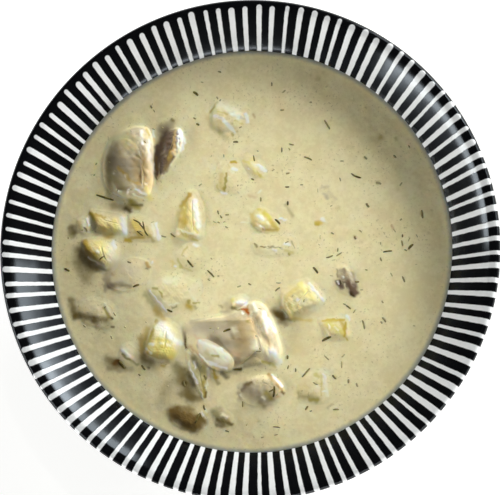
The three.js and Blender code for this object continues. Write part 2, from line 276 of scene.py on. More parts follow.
# Bowl: half a profile as radius and height, the inside counted from the soup.
bowlSize = {
    "level": 40.0, "lipCrest": 98.0, "rim": 100.0, "lipDrop": 2.6, "height": 55.0,
    "inside": [(0, -30.8), (28, -30.2), (48, -27.3), (62, -21.2), (72, -12.9), (77.6, -5.8), (81.4, 0),
               (85.2, 4.2), (89.2, 8.2), (93.2, 12.05), (95.9, 14.35)],
    "outside": [(97.6, 50.2), (92, 45.4), (84, 37), (75, 25.8), (64, 13.8), (53, 6.4), (46.6, 3.4)],
    "foot": [(45.6, 0.9), (44.6, 0), (40.6, 0), (39.6, 1), (37.6, 3.6), (0, 3.6)],
    "lipTurn": (90, -30), "insideSteps": 400, "lipSteps": 25, "outsideSteps": 200, "around": 300,
    "fine": 0.1, "soften": 0.35, "spacing": 1.7, "turnPerRing": 9.0,
}


# The curve that passes through all its points, with each span a cubic led by the points around it.
def curveThrough(points, steps):
    points = np.array(points, float)
    last = len(points) - 1
    along = np.linspace(0, last, steps + 1)
    span = np.minimum(along.astype(int), last)
    share = (along - span)[:, None]
    before, here = points[np.maximum(span - 1, 0)], points[span]
    after = points[np.minimum(span + 1, last)]
    beyond = points[np.minimum(span + 2, last)]
    leave, arrive = (after - before) / 2, (beyond - here) / 2
    return ((2 * here - 2 * after + leave + arrive) * share**3
            + (3 * after - 3 * here - 2 * leave - arrive) * share**2 + leave * share + here)


def lengthsAlong(points):
    return np.concatenate([[0], np.cumsum(np.hypot(*np.diff(points, axis=0).T))])


def wallInside():
    level = bowlSize["level"]
    return curveThrough([(r, level + z) for r, z in bowlSize["inside"]], bowlSize["insideSteps"])


# The whole outline of the wall from the middle of the floor over the lip to the middle of the foot,
# softened a little, with its rings set closer where it turns.
def bowlProfile():
    angles = np.radians(np.linspace(*bowlSize["lipTurn"], bowlSize["lipSteps"]))
    width = bowlSize["rim"] - bowlSize["lipCrest"]
    lip = np.stack([bowlSize["lipCrest"] + width * np.cos(angles),
                    bowlSize["height"] + bowlSize["lipDrop"] * (np.sin(angles) - 1)], axis=1)
    outside = curveThrough(bowlSize["outside"], bowlSize["outsideSteps"])
    whole = np.concatenate([wallInside(), lip, outside, bowlSize["foot"]])
    along = lengthsAlong(whole)
    fine = np.arange(0, along[-1], bowlSize["fine"])
    path = np.stack([np.interp(fine, along, whole[:, axis]) for axis in (0, 1)], axis=1)
    reach = int(3 * bowlSize["soften"] / bowlSize["fine"])
    kernel = np.exp(-0.5 * (np.arange(-reach, reach + 1) * bowlSize["fine"] / bowlSize["soften"]) ** 2)
    padded = np.pad(path, ((reach, reach), (0, 0)), mode="edge")
    soft = np.stack([np.convolve(padded[:, axis], kernel / kernel.sum(), "valid") for axis in (0, 1)], axis=1)
    heading = np.unwrap(np.arctan2(*np.gradient(soft, axis=0).T[::-1]))
    turning = np.abs(np.gradient(heading)) / math.radians(bowlSize["turnPerRing"])
    effort = np.cumsum(bowlSize["fine"] / bowlSize["spacing"] + turning)
    picked = np.interp(np.arange(0, effort[-1]), effort, np.arange(len(soft)))
    profile = np.stack([np.interp(picked, np.arange(len(soft)), soft[:, axis]) for axis in (0, 1)], axis=1)
    profile[:, 0] = np.minimum(profile[:, 0], bowlSize["rim"])
    profile[:, 1] = np.clip(profile[:, 1], 0, bowlSize["height"])
    return profile


# A profile turned about Z, with its first and last points as poles.
def turned(profile, around):
    angle = np.arange(around) * 2 * np.pi / around
    rings = profile[1:-1]
    points = np.stack([rings[:, :1] * np.cos(angle), rings[:, :1] * np.sin(angle),
                       np.repeat(rings[:, 1:], around, axis=1)], axis=-1).reshape(-1, 3)
    poles = np.array([[0, 0, profile[0, 1]], [0, 0, profile[-1, 1]]])
    quads = gridQuads(len(rings), around, wrap=True)
    first, last = len(points), len(points) + 1
    triangles = np.concatenate([
        fanFaces(first, np.arange(around)),
        fanFaces(last, np.arange(around) + (len(rings) - 1) * around, turned=True)])
    return np.concatenate([points, poles]), quads[:, ::-1], triangles


glazeLook = {
    "count": 110, "width": 1.62, "widen": 0.03, "widenFrom": 82.0, "pitchJitter": 0.16, "widthJitter": 0.26,
    "wobble": 0.16, "wobbleGrain": (320.0, 1.0), "drawSeed": 3.5, "startTurn": 1000.0, "end": 99.6,
    "endShift": (1.43, -2.29), "endJitter": 0.7, "lean": (-0.6, -1.4), "leanFrom": 97.6, "leanOver": 15.2,
    "edge": 0.16, "black": (0.004, 0.0042, 0.005), "white": (0.9, 0.91, 0.915), "whiteShade": 0.9,
    "whiteScale": 900.0, "paintHigh": 0.5, "dimple": 0.6, "dimpleScale": 60.0, "relief": 0.12,
    "roughness": 0.13, "ior": 1.5, "gleam": 0.18, "gleamTint": (0.8, 0.9, 1.0), "footTop": 0.55,
    "footFade": 0.25, "clay": (0.42, 0.33, 0.24), "clayShade": 0.72, "clayGrain": (700.0, 3.0),
    "clayRoughness": 0.6,
}


# White rays painted inside the wall: the angle is split into even shares, and each share has a stroke
# whose place, width and end are moved a little by a value drawn for that share.
def makeGlaze():
    look = glazeLook
    material, tree, shader, place = startMaterial("black_glaze")
    x, y, z = add(tree, "ShaderNodeSeparateXYZ", {0: place}).outputs
    scaled = [calc(tree, "MULTIPLY", side, 1 / mm) for side in (x, y)]
    reach = mask(tree, "reach")
    inward = calc(tree, "DIVIDE", calc(tree, "SUBTRACT", look["leanFrom"], reach), look["leanOver"])
    inward = calc(tree, "MAXIMUM", inward, 0.0)
    moved = [calc(tree, "MULTIPLY_ADD", inward, -shift, side) for shift, side in zip(look["lean"], scaled)]
    angle = calc(tree, "ARCTAN2", moved[1], moved[0])
    share = calc(tree, "MULTIPLY", angle, look["count"] / (2 * math.pi))
    share = calc(tree, "ADD", share, look["startTurn"])
    cell = calc(tree, "MODULO", calc(tree, "FLOOR", share), float(look["count"]))
    within = calc(tree, "SUBTRACT", calc(tree, "FRACT", share), 0.5)
    drawn = add(tree, "ShaderNodeTexWhiteNoise", {"W": calc(tree, "ADD", cell, look["drawSeed"])},
                noise_dimensions="1D").outputs["Color"]
    draws = add(tree, "ShaderNodeSeparateColor", {0: drawn}).outputs
    centred = [calc(tree, "SUBTRACT", draw, 0.5) for draw in draws]
    pitch = calc(tree, "MULTIPLY", reach, 2 * math.pi / look["count"])
    aside = calc(tree, "MULTIPLY",
                 calc(tree, "MULTIPLY_ADD", centred[0], -look["pitchJitter"], within), pitch)
    sway = calc(tree, "SUBTRACT", grain(tree, place, *look["wobbleGrain"]), 0.5)
    aside = calc(tree, "ABSOLUTE", calc(tree, "MULTIPLY_ADD", sway, look["wobble"] * 2, aside))
    wide = calc(tree, "SUBTRACT", reach, look["widenFrom"])
    wide = calc(tree, "MULTIPLY_ADD", wide, look["widen"], look["width"])
    half = calc(tree, "MULTIPLY", calc(tree, "MULTIPLY_ADD", centred[1], look["widthJitter"] * 2, 1.0), wide)
    half = calc(tree, "MULTIPLY", half, 0.5)
    toward = calc(tree, "ADD", calc(tree, "MULTIPLY", scaled[0], look["endShift"][0]),
                  calc(tree, "MULTIPLY", scaled[1], look["endShift"][1]))
    end = calc(tree, "ADD", calc(tree, "DIVIDE", toward, reach), look["end"])
    end = calc(tree, "MULTIPLY_ADD", centred[2], look["endJitter"] * 2, end)
    beyond = calc(tree, "MAXIMUM", calc(tree, "SUBTRACT", reach, calc(tree, "SUBTRACT", end, half)), 0.0)
    apart = calc(tree, "SQRT", calc(tree, "ADD", calc(tree, "MULTIPLY", aside, aside),
                                    calc(tree, "MULTIPLY", beyond, beyond)))
    painted = ramp(tree, calc(tree, "SUBTRACT", half, apart), -look["edge"], look["edge"])
    white = mix(tree, grain(tree, place, look["whiteScale"]), look["white"],
                shaded(look["white"], look["whiteShade"]))
    colour = mix(tree, painted, look["black"], white)
    clay = ramp(tree, z, look["footTop"] * mm, (look["footTop"] + look["footFade"]) * mm, 1.0, 0.0)
    clayColour = mix(tree, grain(tree, place, *look["clayGrain"]), look["clay"],
                     shaded(look["clay"], look["clayShade"]))
    colour = mix(tree, clay, colour, clayColour)
    roughness = calc(tree, "MULTIPLY_ADD", clay, look["clayRoughness"], look["roughness"])
    dimples = calc(tree, "MULTIPLY", grain(tree, place, look["dimpleScale"]), look["dimple"])
    height = calc(tree, "MULTIPLY_ADD", painted, look["paintHigh"], dimples)
    feed(tree, shader, Base_Color=colour, Roughness=roughness, IOR=look["ior"],
         Specular_IOR_Level=look["gleam"], Specular_Tint=asColour(look["gleamTint"]),
         Normal=bump(tree, height, look["relief"] * mm))
    return material


def makeBowl():
    profile = bowlProfile()
    points, quads, triangles = turned(profile, bowlSize["around"])
    bowl = meshFrom("glazed_bowl", points, quads, triangles)
    along = lengthsAlong(profile)
    rim = along[np.argmax(profile[:, 0])]
    reach = np.where(along < rim, profile[:, 0], profile[:, 0].max() + along - rim)
    values = np.concatenate([np.repeat(reach[1:-1], bowlSize["around"]), reach[[0, -1]]])
    setMask(bowl, "reach", values)
    bowl.data.materials.append(makeGlaze())
    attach(bowl, "root")
    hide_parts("bowl")


makeRoom()
makeFloor()
makeBowl()
print("bowl turned")

# Brushwork that the soup and its pieces share, laid on in order along short lines in millimetres. The dark
# brown and near-black dabs beside and below the pieces are partly dark bits and partly painted shadow, and
# some broad ones on the open soup are painted shade.
# The golden brown dabs on the lower left sides of the potatoes are partly their own colour and partly painted
# shade.
brushes = {
    "white": (0.98, 0.95, 0.86), "pale": (0.96, 0.91, 0.68), "cream": (0.9, 0.81, 0.5),
    "yellow": (0.94, 0.82, 0.35), "lemon": (0.76, 0.68, 0.17), "gold": (0.74, 0.58, 0.145),
    "bronze": (0.62, 0.47, 0.08), "ochre": (0.57, 0.4, 0.11), "drab": (0.88, 0.72, 0.3),
    "sand": (0.64, 0.53, 0.21), "fern": (0.7, 0.61, 0.24), "olive": (0.48, 0.4, 0.105),
    "moss": (0.4, 0.355, 0.165), "murk_and_shadow": (0.25, 0.19, 0.07), "brown": (0.18, 0.12, 0.027),
    "umber": (0.25, 0.165, 0.055), "near_black_and_shadow": (0.075, 0.055, 0.02), "dark": (0.08, 0.06, 0.018),
    "grey": (0.54, 0.47, 0.3), "ash": (0.8, 0.71, 0.5), "mauve": (0.42, 0.35, 0.24),
    "slate": (0.19, 0.13, 0.09), "tan": (0.6, 0.43, 0.19), "peach": (0.97, 0.76, 0.42),
    "salmon": (0.8, 0.52, 0.3), "rust": (0.5, 0.15, 0.025), "rusty": (0.45, 0.22, 0.06),
    "rustdark": (0.2, 0.1, 0.03),
}
# Brush, start x and y, end x and y, half width, strength, raised by. The white and pale dabs are partly cream
# and partly painted highlights along the edges of the pieces.
dabs = [
    # fish at the upper left, with painted shadow below it
    ("mauve", -53.9, 36.3, -47.3, 32.9, 4.88, 0.75, 0), ("mauve", -56.9, 41.3, -56.0, 33.8, 2.44, 0.5, 0),
    ("murk_and_shadow", -58.1, 38.0, -58.4, 22.3, 1.83, 0.49, 0), ("murk_and_shadow", -55.7, 47.1, -54.0, 42.5, 1.83, 0.34, 0),
    ("cream", -54.0, 47.5, -47.3, 43.2, 3.66, 0.85, 0.18),
    ("yellow", -50.3, 46.6, -47.8, 44.1, 2.04, 0.4, 0.06), ("peach", -48.6, 42.4, -46.9, 42.0, 0.9, 0.5, 0),
    ("white", -44.1, 49.0, -43.6, 43.2, 0.77, 0.8, 0.09),
    ("white", -41.1, 45.2, -40.7, 36.9, 0.73, 0.85, 0.09),
    ("white", -40.2, 36.1, -39.4, 28.7, 0.53, 0.6, 0.06), ("pale", -39.4, 28.3, -38.5, 24.5, 0.98, 0.5, 0),
    ("sand", -42.4, 49.8, -41.1, 47.3, 0.65, 0.9, 0), ("white", -39.9, 49.3, -39.5, 46.8, 0.73, 0.9, 0.09),
    ("mauve", -42.0, 45.2, -41.5, 44.0, 0.45, 0.6, 0), ("tan", -43.2, 38.2, -41.4, 27.0, 1.79, 0.6, 0),
    ("peach", -40.7, 36.9, -39.8, 27.0, 0.73, 0.5, 0), ("tan", -46.5, 35.8, -45.2, 27.9, 1.63, 0.5, 0),
    ("yellow", -41.8, 24.6, -41.0, 21.3, 1.3, 0.85, 0.09),
    ("ochre", -53.9, 33.8, -51.4, 31.7, 0.73, 0.85, -0.03),
    ("ochre", -50.2, 30.9, -48.9, 28.4, 0.69, 0.85, -0.03),
    ("ochre", -47.2, 27.9, -44.7, 27.1, 0.69, 0.6, 0), ("moss", -56.0, 30.1, -52.2, 25.9, 2.24, 0.6, 0.06),
    ("murk_and_shadow", -53.9, 25.1, -48.9, 25.1, 0.9, 0.5, 0), ("pale", -56.3, 23.9, -50.1, 21.0, 0.41, 1, 0.04),
    ("pale", -54.7, 24.7, -52.6, 24.3, 0.45, 0.7, 0.03),
    ("pale", -50.6, 30.5, -50.6, 30.0, 0.49, 0.6, 0.03),
    ("pale", -56.0, 31.8, -55.6, 31.8, 0.45, 0.7, 0.03),
    ("pale", -47.6, 27.1, -46.8, 25.9, 0.61, 0.8, 0.03),
    ("white", -46.4, 25.0, -42.6, 22.9, 0.57, 0.95, 0.06),
    ("pale", -47.6, 23.0, -42.6, 20.9, 0.45, 0.9, 0.03), ("brown", -56.3, 18.6, -50.1, 17.7, 2.24, 0.52, 0),
    ("near_black_and_shadow", -50.9, 17.3, -49.2, 16.4, 0.98, 0.7, 0), ("olive", -48.8, 20.1, -45.9, 17.6, 1.63, 0.85, 0),
    ("dark", -48.4, 18.9, -44.3, 18.8, 0.65, 0.6, 0), ("pale", -48.4, 16.8, -45.9, 16.0, 0.41, 0.6, 0.03),
    # skin beside it
    ("grey", -36.6, 50.5, -32.0, 52.1, 2.44, 0.7, 0.09), ("slate", -34.1, 48.0, -36.9, 37.7, 2.93, 0.9, 0),
    ("slate", -34.1, 45.1, -35.3, 36.9, 2.04, 0.75, 0), ("slate", -38.2, 42.7, -38.1, 31.5, 1.1, 0.95, 0),
    ("umber", -38.6, 38.6, -38.2, 33.2, 0.57, 0.7, 0), ("umber", -32.4, 38.1, -34.4, 32.7, 1.06, 0.75, 0),
    ("slate", -36.5, 33.2, -35.3, 31.9, 0.73, 0.6, 0), ("mauve", -35.3, 39.8, -34.0, 38.9, 1.06, 0.7, 0),
    ("murk_and_shadow", -38.6, 30.3, -38.1, 29.1, 0.49, 0.8, 0), ("murk_and_shadow", -32.0, 53.8, -31.6, 53.4, 0.61, 0.8, 0),
    ("tan", -30.4, 48.8, -30.7, 40.5, 0.65, 0.95, 0.06), ("ochre", -32.0, 40.5, -32.8, 37.2, 0.73, 0.75, 0),
    ("peach", -31.2, 40.1, -30.3, 39.3, 0.61, 0.95, 0.06),
    ("white", -28.7, 49.2, -27.0, 44.6, 0.94, 1, 0.15),
    ("white", -27.0, 44.6, -27.9, 40.9, 0.81, 0.9, 0.09),
    ("white", -29.1, 46.7, -29.1, 42.1, 0.61, 0.9, 0.06), ("pale", -29.1, 40.9, -29.1, 38.0, 0.98, 0.5, 0),
    # potatoes at the left, with painted shadow at their left
    ("bronze", -65.4, 15.4, -63.3, 12.9, 1.14, 0.9, 0), ("ochre", -63.3, 14.9, -59.6, 13.7, 0.73, 0.75, 0),
    ("drab", -62.1, 11.6, -57.9, 7.5, 2.85, 0.75, 0), ("ochre", -59.9, 5.8, -56.6, 5.8, 1.06, 0.5, 0),
    ("yellow", -55.4, 12.8, -55.0, 8.7, 1.22, 0.9, 0.09), ("white", -52.1, 13.2, -51.2, 7.4, 1.3, 1, 0.15),
    ("pale", -52.5, 6.6, -52.1, 5.4, 0.98, 0.5, 0), ("near_black_and_shadow", -72.9, 9.7, -72.4, 7.6, 1.87, 0.6, 0),
    ("drab", -70.8, 12.1, -69.5, 9.6, 0.98, 0.5, 0), ("white", -67.1, 13.3, -66.2, 10.4, 0.61, 1, 0.12),
    ("pale", -68.7, 12.1, -67.9, 10.0, 0.94, 0.75, 0.06),
    ("pale", -69.1, 8.0, -65.8, 8.0, 0.41, 0.85, 0.03), ("murk_and_shadow", -67.9, 9.2, -67.4, 8.4, 0.57, 0.9, 0),
    ("drab", -47.5, 11.5, -44.2, 6.9, 2.44, 0.85, 0), ("bronze", -47.1, 10.6, -44.6, 6.9, 1.83, 0.45, 0),
    ("bronze", -51.2, 4.5, -49.1, 4.1, 0.98, 0.9, 0), ("bronze", -48.7, 5.3, -43.4, 5.3, 0.57, 0.6, 0),
    ("sand", -42.2, 9.8, -41.3, 5.7, 1.14, 0.5, 0), ("pale", -40.1, 10.6, -38.8, 5.6, 0.57, 0.95, 0.06),
    ("white", -38.4, 11.0, -37.2, 4.8, 0.77, 1, 0.09), ("olive", -40.9, 6.1, -39.6, 4.0, 0.94, 0.5, 0),
    ("brown", -70.3, 0.2, -64.4, -6.4, 3.05, 0.64, 0), ("murk_and_shadow", -71.5, -4.7, -67.7, -11.3, 3.05, 0.45, 0),
    ("brown", -62.7, -7.3, -59.0, -8.5, 1.14, 0.41, 0), ("ochre", -67.8, 3.9, -64.9, -2.3, 1.55, 0.9, 0.03),
    ("bronze", -67.0, 3.0, -66.1, 0.6, 0.73, 0.7, 0), ("drab", -64.9, 4.2, -62.8, 2.6, 1.47, 0.5, 0.06),
    ("yellow", -61.6, 3.0, -59.5, -0.7, 2.12, 0.9, 0.12),
    ("bronze", -63.6, -1.1, -61.9, -3.2, 0.94, 0.75, 0),
    ("white", -62.0, -0.3, -61.5, -0.7, 0.53, 0.8, 0.03), ("lemon", -59.9, -2.8, -57.8, -5.3, 1.3, 0.6, 0),
    ("pale", -57.0, 1.3, -55.3, -3.2, 1.83, 0.75, 0.06), ("white", -56.2, 3.8, -55.3, 1.3, 0.94, 0.9, 0.09),
    ("pale", -57.4, -4.0, -57.0, -4.4, 0.61, 0.9, 0.03),
    ("pale", -66.1, -2.7, -59.0, -6.9, 0.45, 0.95, 0.06),
    # fish just under the soup
    ("ash", -56.1, -4.9, -47.0, -9.0, 4.48, 0.65, 0.04), ("ash", -53.6, -12.2, -48.6, -13.9, 2.24, 0.55, 0),
    ("tan", -57.3, -8.1, -56.1, -9.8, 0.98, 0.4, 0), ("grey", -59.4, -11.8, -59.3, -16.7, 0.94, 0.6, 0.03),
    ("mauve", -58.6, -10.6, -56.9, -14.7, 2.04, 0.6, 0),
    ("slate", -57.7, -14.3, -53.6, -13.9, 1.38, 0.45, 0),
    ("murk_and_shadow", -51.9, -13.9, -49.0, -14.7, 0.94, 0.5, 0), ("tan", -42.1, -5.4, -41.2, -6.6, 0.94, 0.95, 0.12),
    ("white", -40.0, -4.6, -40.0, -5.0, 0.49, 1, 0.06), ("murk_and_shadow", -42.5, -7.4, -41.6, -7.8, 0.57, 0.6, 0),
    ("murk_and_shadow", -69.4, -4.8, -66.0, -13.8, 3.26, 0.24, 0),
    # sunk potato at the edge, with painted shadow at its left and below it
    ("murk_and_shadow", -74.5, 9.3, -73.3, 7.6, 1.71, 0.52, 0), ("moss", -57.6, -30.6, -61.7, -35.0, 3.26, 0.35, 0),
    ("murk_and_shadow", -73.4, -20.3, -72.1, -26.4, 2.04, 0.68, 0),
    ("brown", -71.3, -26.4, -64.2, -27.3, 1.95, 0.68, 0),
    ("brown", -63.4, -27.7, -58.4, -28.1, 1.55, 0.6, 0),
    ("olive", -59.3, -23.2, -57.6, -26.9, 0.73, 0.85, 0),
    ("ash", -67.2, -21.1, -63.8, -23.6, 2.65, 0.45, 0.09),
    ("pale", -59.3, -21.6, -56.4, -26.5, 0.73, 0.75, 0.07),
    ("murk_and_shadow", -56.8, -27.3, -56.4, -27.7, 0.61, 0.85, 0),
    ("murk_and_shadow", -56.3, -31.0, -55.5, -31.4, 0.53, 0.75, 0), ("murk_and_shadow", -63.0, -29.3, -62.9, -31.8, 1.14, 0.3, 0),
    # small potato below it, with painted shadow at its left
    ("brown", -57.9, -44.4, -54.1, -46.0, 2.65, 0.64, 0),
    ("brown", -57.4, -48.0, -48.4, -48.4, 1.83, 0.45, 0),
    ("rustdark", -55.4, -46.0, -53.7, -44.8, 0.81, 0.85, 0),
    ("near_black_and_shadow", -52.9, -45.6, -51.3, -47.6, 0.73, 0.8, 0),
    ("pale", -51.7, -38.7, -50.1, -40.3, 1.55, 0.65, 0.06),
    ("white", -51.7, -40.7, -49.2, -42.8, 0.85, 1, 0.15),
    ("pale", -49.2, -42.8, -46.8, -44.4, 1.06, 0.5, 0.03),
    ("moss", -52.1, -42.3, -49.2, -44.4, 0.49, 0.9, -0.03),
    ("moss", -49.2, -44.4, -45.9, -46.4, 0.73, 0.7, 0), ("near_black_and_shadow", -41.4, -47.6, -41.0, -48.0, 0.61, 0.6, 0),
    # golden potato, with painted shadow at its lower left
    ("gold", -41.9, -31.8, -42.7, -39.1, 1.38, 0.6, 0),
    ("ochre", -44.4, -35.9, -43.5, -41.5, 1.95, 0.65, 0),
    ("umber", -43.5, -43.6, -40.2, -45.2, 1.71, 0.49, 0),
    ("murk_and_shadow", -43.1, -45.6, -39.4, -47.2, 2.04, 0.38, 0),
    ("bronze", -37.8, -29.0, -41.1, -38.3, 0.77, 0.9, 0),
    ("olive", -38.2, -29.0, -37.8, -29.4, 0.73, 0.8, 0),
    ("pale", -37.4, -31.4, -36.1, -35.1, 1.71, 0.85, 0.06),
    ("lemon", -37.0, -36.3, -32.0, -37.1, 1.14, 0.8, 0),
    ("white", -35.8, -29.8, -30.0, -37.1, 1.63, 1, 0.18),
    ("white", -29.6, -37.1, -28.0, -37.9, 1.14, 0.9, 0.09),
    ("yellow", -40.2, -39.1, -32.8, -41.2, 2.85, 0.85, 0.18),
    ("lemon", -35.3, -39.1, -31.2, -42.0, 1.83, 0.6, 0),
    ("gold", -40.2, -41.6, -32.0, -43.6, 1.22, 0.55, 0),
    ("white", -40.6, -38.3, -38.6, -38.3, 0.49, 0.95, 0.04),
    ("pale", -41.9, -39.9, -39.8, -42.0, 0.49, 0.95, 0.04),
    ("gold", -40.6, -40.3, -40.2, -40.7, 0.49, 0.9, 0), ("gold", -37.8, -39.1, -36.9, -40.8, 0.45, 0.7, 0),
    ("pale", -35.7, -37.9, -32.0, -38.7, 0.65, 0.8, 0.06),
    ("pale", -35.7, -45.2, -34.9, -45.2, 0.49, 0.75, 0.03),
    ("bronze", -36.1, -46.8, -34.5, -47.2, 0.77, 0.6, 0),
    ("brown", -26.3, -33.5, -25.9, -39.6, 0.65, 0.9, 0),
    ("slate", -25.9, -31.9, -25.1, -32.7, 1.06, 0.35, 0),
    # slab
    ("moss", -42.4, -18.0, -37.4, -25.0, 1.79, 0.6, 0),
    ("ochre", -38.3, -24.5, -35.0, -27.8, 1.83, 0.55, 0),
    ("sand", -36.2, -17.6, -28.8, -20.1, 2.85, 0.3, 0.03),
    ("pale", -35.0, -12.4, -30.1, -12.8, 2.12, 0.65, 0.06),
    ("olive", -39.5, -15.6, -37.5, -15.6, 0.61, 0.7, 0),
    ("olive", -36.7, -16.8, -35.4, -18.9, 0.45, 0.7, 0),
    ("white", -40.8, -16.4, -33.7, -25.0, 0.45, 1, 0.09),
    ("pale", -32.5, -22.5, -28.8, -21.7, 0.57, 0.7, 0.04),
    ("moss", -31.7, -23.4, -29.7, -23.0, 0.45, 0.7, 0),
    ("bronze", -25.6, -22.2, -23.9, -23.4, 1.3, 0.75, 0.06),
    ("olive", -24.7, -20.5, -24.7, -21.4, 0.61, 0.8, 0),
    ("olive", -22.7, -21.4, -20.7, -21.4, 0.49, 0.85, 0),
    ("moss", -22.3, -23.0, -21.9, -23.8, 0.69, 0.6, 0),
    ("pale", -22.7, -19.7, -21.9, -20.2, 0.73, 0.7, 0.06),
    ("pale", -26.4, -19.3, -23.9, -18.9, 1.06, 0.4, 0.03), ("gold", -31.8, -4.6, -30.5, -6.7, 1.3, 0.5, 0),
    ("fern", -29.3, -3.4, -28.1, -6.7, 0.61, 0.7, 0), ("fern", -28.1, -6.7, -23.6, -8.4, 0.65, 0.55, 0),
    ("fern", -25.6, 1.4, -27.7, -1.8, 0.61, 0.65, 0), ("white", -30.5, -6.3, -30.1, -6.7, 0.53, 1, 0.06),
    ("white", -22.8, 2.2, -21.5, 1.8, 0.77, 0.95, 0.09),
    # wedge
    ("gold", -29.4, 15.4, -29.0, 9.6, 1.22, 0.4, 0), ("ochre", -24.5, 22.7, -27.4, 18.6, 1.06, 0.9, 0.03),
    ("gold", -26.9, 17.8, -26.5, 11.3, 2.04, 0.8, 0.06), ("ochre", -28.2, 12.1, -26.1, 10.8, 1.06, 0.5, 0),
    ("yellow", -24.1, 17.8, -23.2, 10.4, 0.98, 0.7, 0.06),
    ("white", -22.4, 20.2, -20.7, 9.6, 1.22, 1, 0.15), ("pale", -22.4, 7.5, -20.3, 5.9, 0.98, 0.5, 0.03),
    ("pale", -29.8, 8.8, -21.1, 5.5, 0.49, 0.95, 0.06), ("lemon", -22.8, 9.6, -21.2, 7.1, 0.73, 0.6, 0),
    ("gold", -29.8, 6.0, -23.2, 4.3, 0.98, 0.4, 0), ("fern", -23.2, 4.7, -21.1, 3.8, 0.65, 0.8, 0),
    ("yellow", -26.9, 17.4, -26.5, 17.0, 0.41, 0.8, 0.03),
    # top potato
    ("sand", -17.6, 54.8, -12.6, 49.3, 2.04, 0.45, 0), ("moss", -12.2, 48.1, -9.7, 46.0, 1.63, 0.45, 0),
    ("olive", -13.5, 60.5, -15.9, 56.8, 0.61, 0.75, 0), ("pale", -12.2, 59.6, -4.4, 55.4, 2.12, 0.75, 0.09),
    ("fern", -13.0, 56.8, -8.9, 55.4, 0.53, 0.65, 0), ("white", -14.3, 55.1, -11.0, 53.8, 0.81, 1, 0.09),
    ("white", -10.2, 52.6, -7.3, 49.6, 0.98, 1, 0.12), ("white", -7.3, 49.6, -6.0, 48.4, 0.61, 0.85, 0.06),
    ("white", -6.5, 55.4, -4.0, 54.1, 0.98, 0.85, 0.06), ("white", -1.5, 55.3, -0.7, 52.4, 0.77, 1, 0.09),
    ("grey", -12.2, 54.3, -11.4, 54.2, 0.49, 0.5, 0), ("grey", -3.2, 54.1, -2.4, 53.7, 0.53, 0.5, 0),
    ("fern", -6.1, 52.9, -4.8, 52.9, 0.45, 0.7, 0), ("fern", -4.0, 51.6, -2.8, 51.6, 0.61, 0.6, 0),
    ("olive", -7.3, 47.6, -6.5, 46.7, 0.57, 0.7, 0), ("fern", -5.2, 48.4, -4.8, 47.1, 0.49, 0.6, 0),
    ("tan", 1.7, 55.7, 2.2, 54.0, 0.49, 0.65, 0),
    # upper potatoes
    ("gold", -11.4, 30.8, -11.4, 25.4, 1.63, 0.5, 0), ("bronze", -7.3, 36.0, -5.6, 36.0, 0.61, 0.9, 0),
    ("fern", -8.9, 34.8, -8.1, 34.0, 0.65, 0.5, 0), ("white", -6.9, 33.2, -5.2, 32.7, 0.69, 0.95, 0.09),
    ("pale", -8.5, 32.4, -6.9, 31.5, 0.77, 0.55, 0.03), ("olive", -9.3, 31.1, -10.1, 25.0, 0.49, 0.8, 0),
    ("olive", -10.5, 25.0, -10.1, 24.2, 0.49, 0.7, 0), ("white", -11.3, 23.4, -9.7, 22.9, 0.65, 0.95, 0.07),
    ("fern", -13.4, 26.7, -13.0, 25.0, 0.53, 0.55, 0), ("lemon", -2.3, 36.4, 0.1, 35.1, 0.98, 0.55, 0),
    ("yellow", 1.3, 36.7, 2.1, 31.4, 1.14, 0.65, 0.06), ("white", 3.4, 34.7, 6.2, 32.2, 0.9, 1, 0.12),
    ("pale", 0.9, 35.5, 2.6, 33.8, 0.69, 0.7, 0.06), ("fern", 3.4, 31.8, 3.8, 31.4, 0.49, 0.75, 0),
    ("bronze", 4.2, 30.5, 4.6, 30.1, 0.53, 0.85, 0), ("yellow", 3.0, 31.0, 5.8, 29.3, 0.77, 0.65, 0),
    ("white", -0.3, 33.1, 0.1, 32.7, 0.41, 0.8, 0.03), ("tan", -0.3, 22.0, 2.1, 21.6, 1.14, 0.45, 0),
    ("white", 3.4, 23.2, 4.6, 24.0, 0.57, 0.6, 0.03), ("pale", -3.2, 11.4, 0.5, 11.0, 0.41, 1, 0.04),
    # middle potatoes
    ("yellow", 3.8, 14.6, 8.7, 9.3, 2.65, 0.6, 0.09), ("gold", 0.9, 14.2, 2.1, 10.1, 1.3, 0.55, 0),
    ("lemon", 6.2, 15.0, 8.7, 12.1, 1.1, 0.85, 0.03), ("white", 3.4, 13.8, 5.8, 12.1, 0.81, 0.95, 0.09),
    ("pale", 7.4, 10.9, 8.2, 9.7, 0.61, 0.85, 0.06), ("white", 4.6, 9.7, 6.2, 8.1, 0.37, 0.9, 0.06),
    ("ochre", 5.4, 8.1, 11.1, 7.6, 0.57, 0.65, 0), ("gold", 9.5, 10.5, 11.5, 8.0, 1.06, 0.8, 0.06),
    ("lemon", 3.4, 16.2, 4.6, 16.2, 0.57, 0.65, 0), ("white", 12.7, 12.5, 14.7, 12.1, 0.61, 0.9, 0.06),
    ("pale", 15.6, 12.0, 16.4, 10.8, 0.57, 0.5, 0.03), ("moss", 14.8, 18.2, 17.6, 13.6, 1.06, 0.5, 0),
    ("fern", 3.8, -0.0, 9.0, -3.3, 1.63, 0.3, 0), ("murk_and_shadow", 2.1, 2.4, 3.0, 1.2, 0.53, 0.65, 0),
    ("murk_and_shadow", 4.6, 1.2, 6.2, 0.8, 0.45, 0.75, 0), ("murk_and_shadow", 7.4, 1.1, 11.5, 1.1, 0.45, 0.55, 0),
    ("murk_and_shadow", 12.3, 0.7, 13.1, 0.3, 0.53, 0.75, 0), ("white", 14.3, 2.3, 16.3, 1.9, 0.81, 0.8, 0.09),
    ("white", 9.5, -0.1, 10.7, -0.5, 0.65, 0.8, 0.06), ("pale", 13.1, 0.3, 14.3, 0.3, 0.45, 0.65, 0.03),
